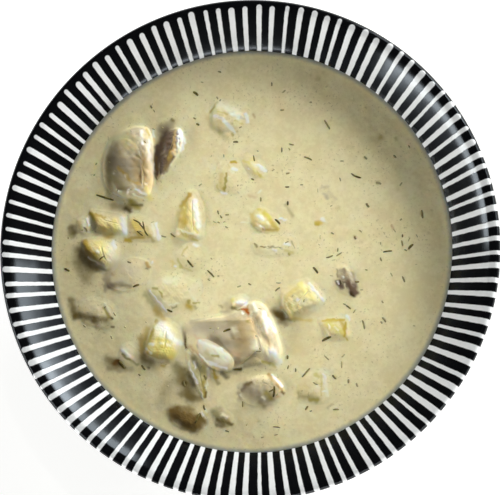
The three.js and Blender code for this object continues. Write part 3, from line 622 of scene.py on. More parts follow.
    ("fern", 14.7, -0.5, 17.6, -1.4, 0.98, 0.65, 0), ("olive", 15.9, -1.8, 16.3, -2.2, 0.45, 0.8, 0),
    ("moss", 17.2, 3.1, 18.4, 0.6, 0.41, 0.6, 0),
    # potatoes at the right
    ("gold", 15.1, -19.1, 19.9, -15.1, 1.38, 0.45, 0.03), ("gold", 16.3, -28.0, 24.7, -28.8, 1.14, 0.55, 0),
    ("brown", 9.8, -25.2, 13.9, -27.2, 2.04, 0.71, -0.06),
    ("umber", 11.4, -26.4, 13.5, -28.0, 1.22, 0.68, 0), ("murk_and_shadow", 11.8, -29.6, 14.7, -30.4, 1.3, 0.45, 0),
    ("yellow", 20.8, -13.9, 22.4, -16.8, 1.3, 0.9, 0.09),
    ("yellow", 22.8, -18.0, 25.6, -20.0, 1.55, 0.65, 0.06),
    ("white", 24.4, -14.0, 27.2, -17.6, 0.85, 1, 0.12),
    ("white", 27.6, -18.0, 30.0, -20.8, 0.65, 0.95, 0.09),
    ("white", 19.5, -20.4, 20.3, -20.8, 0.9, 0.95, 0.12),
    ("pale", 22.3, -21.6, 27.2, -24.0, 1.95, 0.5, 0.06),
    ("pale", 13.1, -24.4, 15.1, -27.2, 0.37, 0.85, 0.04), ("fern", 16.7, -23.2, 18.3, -25.6, 0.94, 0.65, 0),
    ("fern", 15.1, -20.8, 15.9, -22.4, 0.73, 0.55, 0),
    ("lemon", 32.0, -30.1, 37.6, -33.7, 2.04, 0.65, 0.06), ("gold", 29.6, -28.9, 38.4, -28.5, 0.61, 0.9, 0),
    ("bronze", 36.8, -29.3, 38.8, -32.1, 0.9, 0.6, 0), ("bronze", 38.8, -29.7, 38.3, -35.3, 0.53, 0.9, 0),
    ("bronze", 39.1, -35.3, 39.5, -36.9, 0.45, 0.85, 0),
    ("white", 32.0, -30.5, 32.4, -32.1, 0.37, 0.8, 0.03),
    ("pale", 34.4, -31.7, 35.6, -32.5, 0.45, 0.6, 0.03), ("white", 39.2, -26.9, 40.4, -28.9, 0.57, 1, 0.07),
    ("pale", 39.6, -29.7, 39.5, -35.3, 0.53, 0.7, 0.04), ("drab", 29.6, -30.9, 31.1, -33.7, 1.3, 0.4, 0),
    ("gold", 27.3, 10.7, 28.9, 10.7, 1.06, 0.85, 0.03), ("bronze", 26.9, 10.3, 28.1, 9.9, 0.57, 0.8, 0),
    ("white", 29.3, 12.3, 30.1, 11.9, 0.65, 0.95, 0.06), ("pale", 30.1, 11.9, 31.3, 10.7, 0.98, 0.5, 0.03),
    ("mauve", 29.0, 24.9, 31.8, 25.3, 1.06, 0.4, 0), ("mauve", 30.2, 22.5, 31.8, 20.8, 0.98, 0.5, 0),
    ("mauve", 32.2, 23.2, 35.0, 20.4, 1.06, 0.35, 0.03), ("rusty", 57.4, 9.2, 58.2, 8.0, 0.73, 0.55, 0),
    # skin at the right
    ("murk_and_shadow", 35.3, -8.0, 35.7, -11.2, 0.41, 0.45, 0), ("mauve", 36.9, -8.8, 38.9, -10.0, 1.47, 0.7, 0.03),
    ("slate", 38.1, -8.0, 38.9, -9.2, 0.65, 0.6, 0), ("mauve", 36.1, -10.8, 38.5, -12.4, 1.06, 0.65, 0.03),
    ("grey", 40.1, -10.0, 40.5, -11.6, 1.14, 0.8, 0.03), ("slate", 35.7, -13.6, 37.2, -15.2, 1.22, 0.95, 0),
    ("slate", 40.1, -13.7, 42.0, -17.7, 1.55, 1, 0.03), ("near_black_and_shadow", 41.2, -18.1, 42.0, -18.9, 0.85, 0.95, 0),
    ("near_black_and_shadow", 36.5, -13.2, 36.9, -14.0, 0.53, 0.9, 0), ("white", 37.7, -11.2, 38.1, -11.6, 0.37, 0.9, 0.04),
    ("white", 35.7, -13.2, 36.1, -14.0, 0.33, 1, 0.03), ("mauve", 41.3, -9.6, 42.9, -14.1, 1.06, 0.75, 0),
    ("slate", 42.1, -14.5, 43.2, -17.7, 1.06, 0.75, 0), ("pale", 38.5, -14.4, 38.9, -15.7, 0.37, 0.7, 0.03),
    # large fish, with painted shadow along its lower edge
    ("grey", -9.2, -22.2, -7.2, -27.5, 2.65, 0.55, 0.09),
    ("murk_and_shadow", -12.1, -22.6, -11.3, -23.4, 0.73, 0.45, 0), ("murk_and_shadow", -7.2, -23.5, -4.0, -24.3, 0.61, 0.75, 0),
    ("grey", -12.1, -25.1, -9.6, -25.1, 0.57, 0.5, 0),
    ("ash", -25.5, -32.3, -14.9, -35.2, 3.26, 0.65, 0.06),
    ("mauve", -14.1, -36.8, -6.0, -38.8, 3.46, 0.7, 0.06),
    ("ash", -17.8, -31.5, -10.0, -32.7, 2.85, 0.5, 0.06),
    ("tan", -3.5, -30.8, -1.1, -39.2, 3.46, 0.6, 0.03), ("mauve", -21.4, -30.7, -8.4, -31.5, 2.44, 0.4, 0),
    ("grey", -23.9, -29.1, -4.4, -29.1, 1.06, 0.6, 0), ("peach", 0.5, -28.3, 2.9, -35.2, 1.3, 0.75, 0.06),
    ("salmon", -6.8, -41.6, -4.3, -42.8, 1.47, 0.5, 0), ("ash", -5.2, -46.8, 0.5, -44.4, 1.55, 0.45, 0),
    ("pale", 3.7, -38.8, 9.0, -41.6, 2.65, 0.45, 0.03), ("peach", 5.4, -36.0, 9.0, -39.2, 1.63, 0.4, 0),
    ("white", 6.2, -25.5, 7.4, -33.2, 1.06, 0.85, 0.12),
    ("white", 7.8, -28.0, 10.6, -33.6, 0.77, 0.95, 0.06), ("pale", 4.2, -36.8, 2.5, -40.0, 1.55, 0.7, 0.06),
    ("white", 9.4, -41.2, 12.2, -44.9, 1.38, 0.9, 0.09), ("pale", 11.0, -45.7, 11.4, -47.7, 1.3, 0.6, 0.06),
    ("white", 1.7, -21.9, 2.9, -24.7, 0.98, 0.8, 0.12),
    ("pale", -3.5, -19.0, -1.1, -19.5, 1.55, 0.55, 0.06),
    ("yellow", -6.8, -20.6, -6.0, -22.3, 0.98, 0.95, 0.09),
    ("white", -4.4, -21.5, -1.5, -21.9, 1.26, 1, 0.15), ("tan", -0.3, -22.3, -0.3, -24.3, 0.57, 0.85, 0.03),
    ("rust", -3.1, -24.3, -0.7, -24.3, 0.53, 1, 0), ("rust", -1.1, -25.1, -0.3, -25.9, 0.65, 1, 0),
    ("white", -2.7, -25.5, -2.3, -25.9, 0.49, 0.95, 0.06),
    ("pale", -6.0, -32.4, -5.2, -33.2, 1.14, 1, 0.06), ("olive", 0.1, -29.2, 0.1, -29.6, 0.45, 0.8, 0),
    ("moss", -7.6, -34.4, -6.4, -36.0, 0.45, 0.65, 0), ("murk_and_shadow", -4.3, -36.0, -4.3, -36.4, 0.49, 0.85, 0),
    ("murk_and_shadow", -12.9, -36.0, -12.9, -36.4, 0.41, 0.75, 0),
    ("salmon", -22.2, -35.1, -20.2, -35.9, 0.45, 0.5, 0),
    ("slate", -21.0, -38.4, -21.0, -39.6, 0.53, 0.55, 0),
    ("tan", -23.9, -39.2, -21.4, -42.8, 1.14, 0.55, 0),
    ("pale", -26.3, -40.4, -23.9, -42.4, 0.37, 0.8, 0.03),
    ("pale", -22.6, -41.6, -19.4, -44.8, 0.45, 0.95, 0.04),
    ("bronze", -14.9, -48.8, -13.7, -51.7, 1.14, 0.9, 0),
    ("near_black_and_shadow", -11.2, -49.6, -9.2, -51.7, 1.34, 0.68, 0), ("murk_and_shadow", -13.3, -53.3, -12.4, -54.1, 0.94, 0.55, 0),
    ("murk_and_shadow", -8.4, -49.6, -5.2, -49.6, 1.14, 0.45, 0), ("dark", -6.0, -48.4, -3.5, -48.4, 0.69, 0.9, 0),
    ("murk_and_shadow", -1.9, -47.2, 5.4, -46.0, 1.14, 0.45, 0), ("olive", 5.4, -45.2, 8.2, -46.1, 0.77, 0.7, 0),
    ("fern", 9.4, -46.1, 10.2, -47.3, 0.73, 0.7, 0),
    # leaf of fish
    ("pale", -18.2, -39.2, -10.0, -44.4, 3.26, 0.95, 0), ("sand", -17.3, -41.6, -14.9, -44.0, 1.22, 0.5, 0),
    ("white", -19.8, -37.2, -11.2, -40.4, 0.77, 0.7, 0.03),
    ("white", -11.2, -40.4, -7.2, -44.0, 0.65, 0.6, 0.03),
    ("white", -16.5, -45.6, -13.3, -46.4, 0.61, 1, 0.06),
    ("white", -20.2, -42.4, -16.5, -45.6, 0.53, 0.95, 0.04),
    ("white", -13.3, -46.8, -8.8, -48.0, 0.49, 0.8, 0.03),
    ("olive", -14.5, -42.8, -12.5, -43.2, 0.61, 0.85, 0),
    # onion, with painted shadow on the soup round it and painted shade on the soup towards the bottom wall
    ("murk_and_shadow", -29.5, -47.2, -26.3, -49.6, 2.44, 0.6, 0), ("murk_and_shadow", -27.1, -52.1, -23.8, -59.3, 3.26, 0.8, 0),
    ("near_black_and_shadow", -23.8, -51.2, -22.6, -54.5, 1.22, 0.5, 0), ("murk_and_shadow", -32.8, -54.5, -36.0, -61.7, 4.07, 0.4, 0),
    ("moss", -31.2, -47.2, -28.7, -49.6, 2.85, 0.35, 0), ("moss", -3.5, -64.1, 3.7, -63.6, 4.07, 0.35, 0),
    ("moss", -5.1, -71.2, 5.3, -70.8, 4.88, 0.25, 0), ("dark", -26.7, -53.7, -26.3, -54.5, 0.69, 0.9, 0),
    ("murk_and_shadow", -27.9, -58.5, -20.5, -60.1, 1.63, 0.5, 0),
    ("moss", -22.6, -44.0, -19.8, -50.0, 1.71, 0.7, 0.03),
    ("fern", -18.5, -47.2, -17.7, -52.5, 1.14, 0.7, 0), ("olive", -18.9, -53.3, -18.1, -59.3, 0.9, 0.85, 0),
    ("pale", -24.7, -45.2, -23.8, -48.4, 0.45, 0.95, 0.06),
    ("white", -23.8, -48.4, -20.6, -54.1, 0.41, 1, 0.07),
    ("pale", -20.1, -56.9, -18.5, -60.1, 0.37, 1, 0.06),
    ("white", -22.2, -45.2, -21.8, -47.6, 0.57, 0.95, 0.09),
    ("pale", -16.5, -46.0, -16.5, -51.7, 0.53, 0.95, 0.07),
    ("pale", -15.3, -47.6, -15.3, -49.2, 0.53, 0.85, 0.03),
    ("pale", -16.9, -52.1, -17.3, -56.1, 0.37, 0.85, 0.04),
    ("dark", -18.1, -51.3, -17.7, -52.1, 0.45, 0.9, 0),
    ("umber", -17.7, -57.7, -17.7, -59.7, 0.53, 0.85, 0),
    # fish round
    ("mauve", -1.1, -56.1, 7.0, -60.0, 4.07, 0.75, 0.03), ("slate", -3.1, -56.9, -1.9, -55.3, 0.85, 0.5, 0),
    ("brown", -1.1, -54.5, 0.9, -53.7, 0.73, 0.65, 0), ("slate", -4.3, -58.1, -3.9, -60.5, 0.9, 0.3, 0),
    ("tan", 7.8, -50.5, 13.0, -56.1, 0.9, 0.9, 0.06), ("white", 9.0, -50.5, 13.4, -55.3, 0.41, 1, 0.07),
    ("brown", 13.0, -57.2, 13.8, -58.0, 0.61, 0.75, 0), ("olive", 7.0, -57.7, 8.6, -60.0, 1.3, 0.7, 0),
    ("pale", 5.4, -59.3, 6.2, -60.4, 0.49, 0.95, 0.04),
    ("peach", 11.0, -57.3, 11.4, -59.2, 0.65, 0.65, 0.03),
    ("pale", -3.5, -58.5, -3.1, -59.3, 0.45, 0.65, 0.03), ("murk_and_shadow", 4.5, -61.6, 5.8, -63.2, 0.94, 0.4, 0),
    # skin at the bottom
    ("umber", -29.9, -66.1, -24.6, -68.5, 3.46, 0.95, 0.03),
    ("umber", -24.6, -68.1, -20.9, -70.5, 2.77, 0.9, 0),
    ("umber", -31.5, -65.3, -30.7, -67.3, 1.55, 0.8, 0),
    ("brown", -27.0, -71.3, -22.5, -72.9, 1.63, 0.6, 0),
    ("brown", -29.1, -63.7, -23.0, -64.5, 1.22, 0.5, 0),
    ("brown", -20.5, -67.3, -18.1, -69.3, 1.47, 0.75, 0),
    ("yellow", -18.9, -64.9, -17.3, -66.5, 0.57, 0.8, 0.03),
    ("white", -19.3, -65.3, -18.9, -66.9, 0.45, 0.8, 0.06),
    ("white", -17.7, -64.1, -17.3, -65.7, 0.49, 0.65, 0.03),
    ("moss", -14.4, -65.7, -10.4, -68.5, 2.24, 0.75, 0), ("grey", -12.0, -64.1, -8.8, -66.5, 1.47, 0.5, 0),
    ("murk_and_shadow", -12.8, -68.5, -9.2, -69.3, 1.14, 0.6, 0.03), ("murk_and_shadow", -8.4, -70.1, -7.2, -70.5, 0.77, 0.8, 0),
    ("brown", -13.2, -70.9, -10.4, -70.9, 1.06, 0.5, 0),
    ("pale", -10.8, -66.5, -9.2, -67.3, 0.77, 0.65, 0.06),
    # sunk potato at the lower right
    ("sand", 20.6, -54.5, 25.4, -57.6, 3.26, 0.35, 0), ("moss", 20.6, -59.2, 27.4, -60.4, 1.71, 0.6, 0),
    ("olive", 24.6, -60.4, 27.4, -60.8, 0.77, 0.7, 0), ("fern", 26.7, -50.5, 27.9, -51.3, 1.14, 0.7, 0),
    ("fern", 26.7, -53.7, 28.7, -54.1, 0.98, 0.5, 0), ("pale", 27.0, -55.2, 27.8, -55.6, 0.73, 0.7, 0.04),
    ("fern", 29.1, -50.9, 29.0, -58.4, 0.45, 0.55, 0), ("white", 29.9, -50.5, 30.3, -53.3, 0.61, 1, 0.1),
    ("pale", 30.3, -52.9, 31.4, -58.8, 0.98, 0.85, 0.07),
    ("white", 29.8, -57.2, 30.6, -57.2, 0.45, 0.9, 0.03),
    ("mauve", 34.3, -51.3, 35.0, -56.0, 0.65, 0.25, 0), ("moss", 31.4, -64.0, 33.0, -62.4, 0.81, 0.45, 0),
]
# Herbs just under the soup: middle x and y, half width, strength.
sunkenMarks = [
    (53.3, 45.1, 1.8, 0.6), (55.7, 47.1, 1.2, 0.45), (59.7, 44.6, 1.2, 0.55), (49.7, 44.3, 2.4, 0.3),
    (39.9, 42.0, 1.6, 0.3), (42.0, 41.2, 1.0, 0.3), (33.4, 40.5, 0.8, 0.4), (51.9, 26.8, 1.1, 0.6),
    (54.8, 27.5, 1.4, 0.25), (60.0, 23.8, 0.8, 0.35), (66.7, 20.1, 0.7, 0.35), (69.5, 14.0, 1.2, 0.6),
    (73.5, 15.2, 0.9, 0.5), (72.2, 6.3, 0.9, 0.4), (36.2, 16.8, 1.3, 0.4), (45.4, 2.9, 1.1, 0.4),
    (39.7, 6.6, 0.7, 0.4), (42.6, 5.0, 0.9, 0.5), (64.8, 28.6, 0.8, 0.3), (72.8, 27.3, 0.8, 0.35),
    (58.9, 36.8, 0.8, 0.4), (46.8, 37.0, 0.8, 0.5), (13.1, 44.5, 1.0, 0.2), (25.0, 71.5, 1.2, 0.45),
    (28.3, 69.8, 1.6, 0.5), (30.3, 72.2, 1.2, 0.35), (26.6, 65.7, 1.4, 0.4), (34.4, 67.2, 1.0, 0.35),
    (37.6, 62.2, 1.0, 0.3), (20.9, 74.9, 1.0, 0.3), (10.7, 73.5, 0.8, 0.3), (-3.7, 75.4, 0.8, 0.3),
    (-9.9, 69.7, 0.8, 0.3), (42.5, 60.4, 1.0, 0.35), (47.3, 53.0, 0.8, 0.35), (-40.9, 59.5, 1.1, 0.5),
    (-39.7, 57.8, 0.8, 0.4), (33.1, 52.4, 1.0, 0.4), (30.2, 51.6, 1.2, 0.35), (-13.5, 44.9, 0.8, 0.3),
    (37.1, -46.1, 1.0, 0.4), (32.6, -54.1, 0.8, 0.35), (19.8, -57.7, 0.8, 0.35), (27.5, -40.9, 0.7, 0.35),
    (42.6, -61.2, 0.7, 0.35), (56.8, -20.9, 0.8, 0.25), (64.7, -29.0, 0.8, 0.3), (68.6, -37.0, 0.9, 0.35),
    (60.6, -47.3, 0.8, 0.3), (50.9, -60.8, 0.9, 0.35), (40.5, -68.8, 1.0, 0.3), (20.5, -73.6, 0.9, 0.3),
    (3.6, -68.9, 0.8, 0.3), (5.3, -75.2, 0.8, 0.3), (-73.9, 6.1, 1.2, 0.35), (-75.4, -4.6, 1.0, 0.35),
    (-36.5, 14.3, 0.8, 0.3), (-30.4, 22.5, 0.7, 0.3), (-3.7, -0.3, 0.7, 0.3), (-13.5, -5.1, 0.8, 0.25),
    (-3.6, -32.7, 0.7, 0.4), (20.7, -4.6, 0.7, 0.25), (40.8, -20.8, 0.7, 0.3), (48.7, -36.9, 0.8, 0.3),
    (32.8, -16.8, 0.7, 0.3), (16.6, -28.8, 0.7, 0.3),
]
dabs += [("olive", x, y, x, y, wide, strength, 0) for x, y, wide, strength in sunkenMarks]
brushLook = {"wobble": 0.14, "wobbleLength": 3.0, "wobbleSeeds": (61, 62), "soft": 2.0, "ends": 2.6,
             "rim": (0.36, 0.37, 0.32), "rimFrom": 79.2, "rimOver": 2.4, "rimStrength": 0.9}


# The share of each dab at each place: a bell over the distance to its line, once the place is wobbled.
def dabShares(x, y):
    look = brushLook
    bent = [side + look["wobble"] * waves(x, y, look["wobbleLength"], seed)
            for side, seed in zip((x, y), look["wobbleSeeds"])]
    for brush, startX, startY, endX, endY, wide, strength, raised in dabs:
        step = np.array([endX - startX, endY - startY])
        reach = np.linalg.norm(step) / 2 + look["ends"] * wide
        near = np.flatnonzero(np.hypot(bent[0] - (startX + endX) / 2, bent[1] - (startY + endY) / 2) < reach)
        aside = np.stack([bent[0][near] - startX, bent[1][near] - startY], axis=1)
        along = np.clip(aside @ step / max(step @ step, 1e-6), 0, 1)
        apart = np.linalg.norm(aside - along[:, None] * step, axis=1)
        yield brush, near, np.exp(-(apart / wide) ** look["soft"]), strength, raised


def raisedAt(x, y):
    total = np.zeros(np.size(x))
    for _, near, bell, _, raised in dabShares(np.ravel(x), np.ravel(y)):
        total[near] += raised * bell
    return total.reshape(np.shape(x))


# Each dab covers what was brushed on before it: colour and cover are mixed in order, then divided.
# Near the wall the colour is brushed towards a grey.
def setBrushwork(piece, points):
    paint = np.zeros((len(points), 4))
    for brush, near, bell, strength, _ in dabShares(points[:, 0], points[:, 1]):
        share = (bell * strength)[:, None]
        paint[near] = paint[near] * (1 - share) + np.array([*brushes[brush], 1.0]) * share
    look = brushLook
    reach = np.hypot(points[:, 0], points[:, 1])
    share = look["rimStrength"] * np.clip((reach - look["rimFrom"]) / look["rimOver"], 0, 1)[:, None]
    paint = paint * (1 - share) + np.array([*look["rim"], 1.0]) * share
    paint[:, :3] /= np.maximum(paint[:, 3:], 1e-4)
    layer = piece.data.attributes.new("brushwork", "FLOAT_COLOR", "POINT")
    layer.data.foreach_set("color", paint.astype(np.float32).ravel())


# What a cream film, stains and fine grain do to any food's own colour.
creamLook = {
    "light": (0.94, 0.848, 0.545), "dark": (0.86, 0.762, 0.455), "cloud": (140.0, 3.0, 0.6),
    "cloudShare": 0.6, "curd": (620.0, 2.0, 0.6), "curdShare": 0.4, "creamSpan": (0.38, 0.62),
    "patch": (420.0, 3.0, 0.6), "filmPatch": 0.5, "filmSpan": (0.15, 0.85), "brushPatch": 0.22,
    "brushSpan": (0.06, 0.94), "dust": (0.46, 0.39, 0.17), "dustShare": 0.5, "dustScale": 1000.0,
    "dustSpan": (0.61, 0.69), "dustyScale": 70.0, "dustySpan": (0.35, 0.65), "grain": (900.0, 3.0, 0.6),
}


def makeCreamCoat():
    look = creamLook
    group = bpy.data.node_groups.new("cream_coat", "ShaderNodeTree")
    for name, way, kind in (("Place", "INPUT", "Vector"), ("Own Colour", "INPUT", "Color"),
                            ("Film", "INPUT", "Float"), ("Colour", "OUTPUT", "Color"),
                            ("Height", "OUTPUT", "Float")):
        group.interface.new_socket(name, in_out=way, socket_type="NodeSocket" + kind)
    start, end = group.nodes.new("NodeGroupInput"), group.nodes.new("NodeGroupOutput")
    place, own, film = start.outputs[0], start.outputs[1], start.outputs[2]
    cloudy = calc(group, "MULTIPLY", grain(group, place, *look["cloud"]), look["cloudShare"])
    cloudy = calc(group, "MULTIPLY_ADD", grain(group, place, *look["curd"]), look["curdShare"], cloudy)
    cream = mix(group, ramp(group, cloudy, *look["creamSpan"]), look["dark"], look["light"])
    patchy = calc(group, "SUBTRACT", grain(group, place, *look["patch"]), 0.5)
    cover = ramp(group, calc(group, "MULTIPLY_ADD", patchy, look["filmPatch"], film), *look["filmSpan"])
    dusty = ramp(group, grain(group, place, look["dustScale"]), *look["dustSpan"], 0.0, look["dustShare"])
    dustier = ramp(group, grain(group, place, look["dustyScale"]), *look["dustySpan"])
    dusty = calc(group, "MULTIPLY", dusty, dustier)
    colour = mix(group, dusty, mix(group, cover, own, cream), look["dust"])
    brushed = add(group, "ShaderNodeAttribute", attribute_name="brushwork").outputs
    broken = calc(group, "MULTIPLY_ADD", patchy, look["brushPatch"], brushed["Alpha"])
    colour = mix(group, ramp(group, broken, *look["brushSpan"]), colour, brushed["Color"])
    group.links.new(colour, end.inputs[0])
    group.links.new(grain(group, place, *look["grain"]), end.inputs[1])
    return group


creamCoat = makeCreamCoat()

# What every wet food has in common, so that no line shows where a piece goes under the soup.
wetLook = {"patchDetail": (4.0, 0.6), "patchSpan": (0.32, 0.68), "roughness": 0.17, "roughSpan": 0.12,
           "roughScale": 500.0, "ior": 1.38, "sink": 0.8, "spread": (1.0, 0.72, 0.36),
           "depth": 0.45, "bump": 0.035}


# A wet food's material: its own colour between two shades, painted shade on the steep sides that look away
# from the window, the cream over it, and light that sinks in.
def makeWetFood(name, look):
    material, tree, shader, place = startMaterial(name)
    patch = ramp(tree, grain(tree, place, look["patch"], *wetLook["patchDetail"]), *wetLook["patchSpan"])
    own = mix(tree, patch, look["deep"], look["fair"])
    own = mix(tree, mask(tree, "shady"), own, look["shady"])
    coat = add(tree, "ShaderNodeGroup", node_tree=creamCoat)
    tree.links.new(place, coat.inputs["Place"])
    tree.links.new(own, coat.inputs["Own Colour"])
    tree.links.new(mask(tree, "film"), coat.inputs["Film"])
    rough = grain(tree, place, wetLook["roughScale"])
    roughness = calc(tree, "MULTIPLY_ADD", rough, wetLook["roughSpan"], wetLook["roughness"])
    feed(tree, shader, Base_Color=coat.outputs["Colour"], Roughness=roughness, IOR=wetLook["ior"],
         Subsurface_Weight=wetLook["sink"], Subsurface_Radius=wetLook["spread"],
         Subsurface_Scale=wetLook["depth"] * mm,
         Normal=bump(tree, coat.outputs["Height"], wetLook["bump"] * mm))
    return material


# Soup: swells as height, rates along x and y, and start, ripples as height, wavelength and seed.
soupSize = {
    "edge": 81.4, "across": 300, "under": 9, "creep": 0.3, "creepOver": 1.6, "gap": 0.12,
    "past": 0.5, "crowd": 1.3,
    "swells": [(0.12, 0.071, 0.083, 0.6), (0.06, 0.19, -0.13, 1.1)],
    "ripples": [(0.022, 9.0, 11), (0.009, 4.5, 12), (0.005, 2.6, 13)],
}
soupLook = {"shady": (0.5, 0.4, 0.1), "fair": (0.84, 0.76, 0.48), "deep": (0.75, 0.66, 0.38), "patch": 60.0}


# The soup away from its pieces: slow swells, small ripples, and a creep up the wall that fades inwards.
def soupSwells(x, y):
    reach = np.hypot(x, y)
    total = soupSize["creep"] * np.exp((reach - soupSize["edge"]) / soupSize["creepOver"])
    for height, alongX, alongY, start in soupSize["swells"]:
        total = total + height * np.sin(alongX * x + alongY * y + start)
    for height, wavelength, seed in soupSize["ripples"]:
        total = total + height * waves(x, y, wavelength, seed)
    return bowlSize["level"] + total + raisedAt(x, y)


# A square grid drawn out to a disc: x = u sqrt(1 - v²/2) and y = v sqrt(1 - u²/2), so it has no pole.
def discGrid(count):
    side = np.linspace(-1, 1, count)
    u, v = np.meshgrid(side, side)
    return u * np.sqrt(1 - v**2 / 2), v * np.sqrt(1 - u**2 / 2)


# The numbers of a square grid's border, counter-clockwise.
def border(count):
    side = np.arange(count)
    return np.concatenate([side[:-1], side[:-1] * count + count - 1,
                           (count - 1) * count + side[:0:-1], side[:0:-1] * count])


# The surface of the soup with its swells, and below it rings down the wall.
def makeSoup():
    count = soupSize["across"]
    wall = wallInside()
    x, y = discGrid(count)
    radius = soupSize["edge"] + soupSize["past"]
    x, y = (x * radius).ravel(), (y * radius).ravel()
    ring = border(count)
    low = np.linspace(0, 1, soupSize["under"] + 1)[:-1]
    startRow = np.interp(radius, wall[:, 0], np.arange(len(wall)))
    rows = startRow * (1 - low ** soupSize["crowd"])
    radii = np.interp(rows, np.arange(len(wall)), wall[:, 0]) + soupSize["gap"]
    depths = np.interp(rows, np.arange(len(wall)), wall[:, 1])
    angle = np.arctan2(y[ring], x[ring])
    under = np.stack([radii[1:, None] * np.cos(angle), radii[1:, None] * np.sin(angle),
                      np.repeat(depths[1:, None], len(ring), axis=1)], axis=-1).reshape(-1, 3)
    top = np.stack([x, y, soupSwells(x, y) + meniscusAt(x, y)], axis=1)
    points = np.concatenate([top, under, [[0, 0, wall[0, 1]]]])
    rings = np.concatenate([ring[None], len(top) + np.arange(len(under)).reshape(-1, len(ring))])
    after = np.roll(rings, -1, axis=1)
    sides = np.stack([rings[:-1], rings[1:], after[1:], after[:-1]], axis=-1).reshape(-1, 4)
    quads = np.concatenate([gridQuads(count, count), sides])
    soup = meshFrom("creamy_soup", points, quads, fanFaces(len(points) - 1, rings[-1], turned=True))
    setMask(soup, "film", np.ones(len(points)))
    setMask(soup, "shady", np.zeros(len(points)))
    setBrushwork(soup, points)
    soup.data.materials.append(makeWetFood("creamy_soup", soupLook))
    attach(soup, "root")
    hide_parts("soup")


# Pieces of food: widest at the soup, with their corners there in millimetres.
potatoes = {
    "potato_top": {"top": 1.9, "depth": 7, "film": 0.55,
                   "corners": [(-15.1, 61.8), (-0.2, 59.4), (-0.6, 51.6), (-3.9, 48.3), (-15.5, 50.6)]},
    "potato_upper": {"top": 1.1, "depth": 7, "film": 0.7,
                     "corners": [(-12.5, 36.1), (-3.9, 35.5), (-1.4, 28.6), (-3.9, 22.8), (-13.8, 24.6)]},
    "potato_upper_small": {"top": 1.5, "depth": 5, "film": 0.55,
                           "corners": [(-1, 38.8), (5.9, 34.6), (5.9, 29.7), (1, 30.1), (-3.1, 35.1)]},
    "potato_middle": {"top": 1.9, "depth": 6, "film": 0.3,
                      "corners": [(3.5, 17.4), (12.4, 12.8), (11.2, 8.7), (6.7, 6.4), (0.2, 11.4)]},
    "potato_sunk_middle": {"top": 0.8, "depth": 6, "film": 0.85,
                           "corners": [(1.8, 5.6), (18.1, 4.6), (18.4, -1.1), (5.1, -2.6), (1.4, -0.2)]},
    "potato_wedge": {"top": 2.8, "depth": 6, "film": 0.2,
                     "ridge": ((-23.5, 20.3), (-22.8, 8.2)),
                     "corners": [(-25.7, 24.3), (-22.4, 24.7), (-18.6, 16.4), (-19.1, 4.9), (-24.4, 3.4),
                                 (-30.6, 5.9)]},
    "potato_sunk_left": {"top": 0.9, "depth": 6, "film": 0.75,
                         "corners": [(-30.2, -2.3), (-24.4, 2.8), (-17.8, -0.8), (-20.3, -7.3), (-26, -8.1)]},
    "potato_left_back": {"top": 2.1, "depth": 6, "film": 0.35,
                         "ridge": ((-59.9, 12.6), (-54.3, 11.1)),
                         "corners": [(-66.2, 17.3), (-60.1, 16.4), (-51.1, 14.7), (-50.6, 7), (-59.2, 6.9),
                                     (-64.1, 8.4)]},
    "potato_left_herbs": {"top": 1.5, "depth": 6, "film": 0.45,
                          "corners": [(-49.8, 14.5), (-42.6, 13.8), (-37.6, 9.2), (-36.8, 3.9), (-44.6, 4),
                                      (-50, 5.6)]},
    "potato_left_front": {"top": 2.6, "depth": 7, "film": 0.3,
                          "ridge": ((-60.8, 1.7), (-59.1, -3.6)),
                          "corners": [(-69.4, 4.6), (-61.6, 5.7), (-53.7, 2.4), (-54.5, -4.5), (-59, -8.2),
                                      (-64.9, -4.4), (-68.7, -0.4)]},
    "potato_crumb_left": {"top": 1.3, "depth": 2.5, "film": 0.35,
                          "corners": [(-70.9, 12.7), (-67.6, 13.9), (-66.4, 9.5), (-68.8, 7.1),
                                      (-71.2, 9.2)]},
    "potato_slab": {"top": 1.2, "depth": 5, "film": 0.6,
                    "corners": [(-42, -15.7), (-35.5, -8.8), (-20.3, -13), (-21.4, -20.7), (-27.2, -24.3),
                                (-33.3, -26.8)]},
    "potato_golden": {"top": 3.6, "depth": 7, "film": 0.15,
                      "ridge": ((-33.8, -32.8), (-33.9, -39.5)),
                      "corners": [(-42.3, -35.6), (-39.8, -29.2), (-34.1, -27.6), (-28.3, -31.8),
                                  (-28.3, -40.5), (-31.6, -45.8), (-37.7, -45.4), (-43.1, -42.5)]},
    "potato_small_left": {"top": 1.1, "depth": 4.5, "film": 0.5,
                          "corners": [(-52.6, -40.1), (-48.9, -37.7), (-45.1, -41.7), (-48.4, -47),
                                      (-53.4, -45.4)]},
    "potato_sunk_edge": {"top": 0.8, "depth": 4, "film": 0.85,
                         "corners": [(-70.1, -23.3), (-65.6, -19.6), (-56.4, -22.2), (-55.1, -28.3),
                                     (-59.7, -31.5), (-68, -29.1)]},
    "potato_right": {"top": 2.7, "depth": 7, "film": 0.3,
                     "ridge": ((19.8, -21.9), (23.8, -17.1)),
                     "corners": [(12.7, -22.9), (12.7, -17.3), (19.7, -12.5), (24.1, -12.1), (30.6, -19.4),
                                 (29.3, -22.6), (21.2, -28.2), (16.4, -29)]},
    "potato_right_low": {"top": 1.7, "depth": 5, "film": 0.35,
                         "corners": [(27.7, -28.6), (38.1, -27.5), (40.9, -35.5), (34.8, -37),
                                     (31.3, -35.8)]},
    "potato_sunk_right": {"top": 0.9, "depth": 6, "film": 0.7,
                          "corners": [(19.6, -55.1), (22.8, -50.3), (30.8, -49.1), (32.4, -55.1),
                                      (30.8, -61.4), (20.4, -61.4)]},
    "potato_crumb_top": {"top": 3, "depth": 2, "film": 0.3,
                         "corners": [(-7.5, -19.7), (-3.1, -18), (0.6, -21), (-2.7, -24.2), (-6.7, -23.2)]},
}
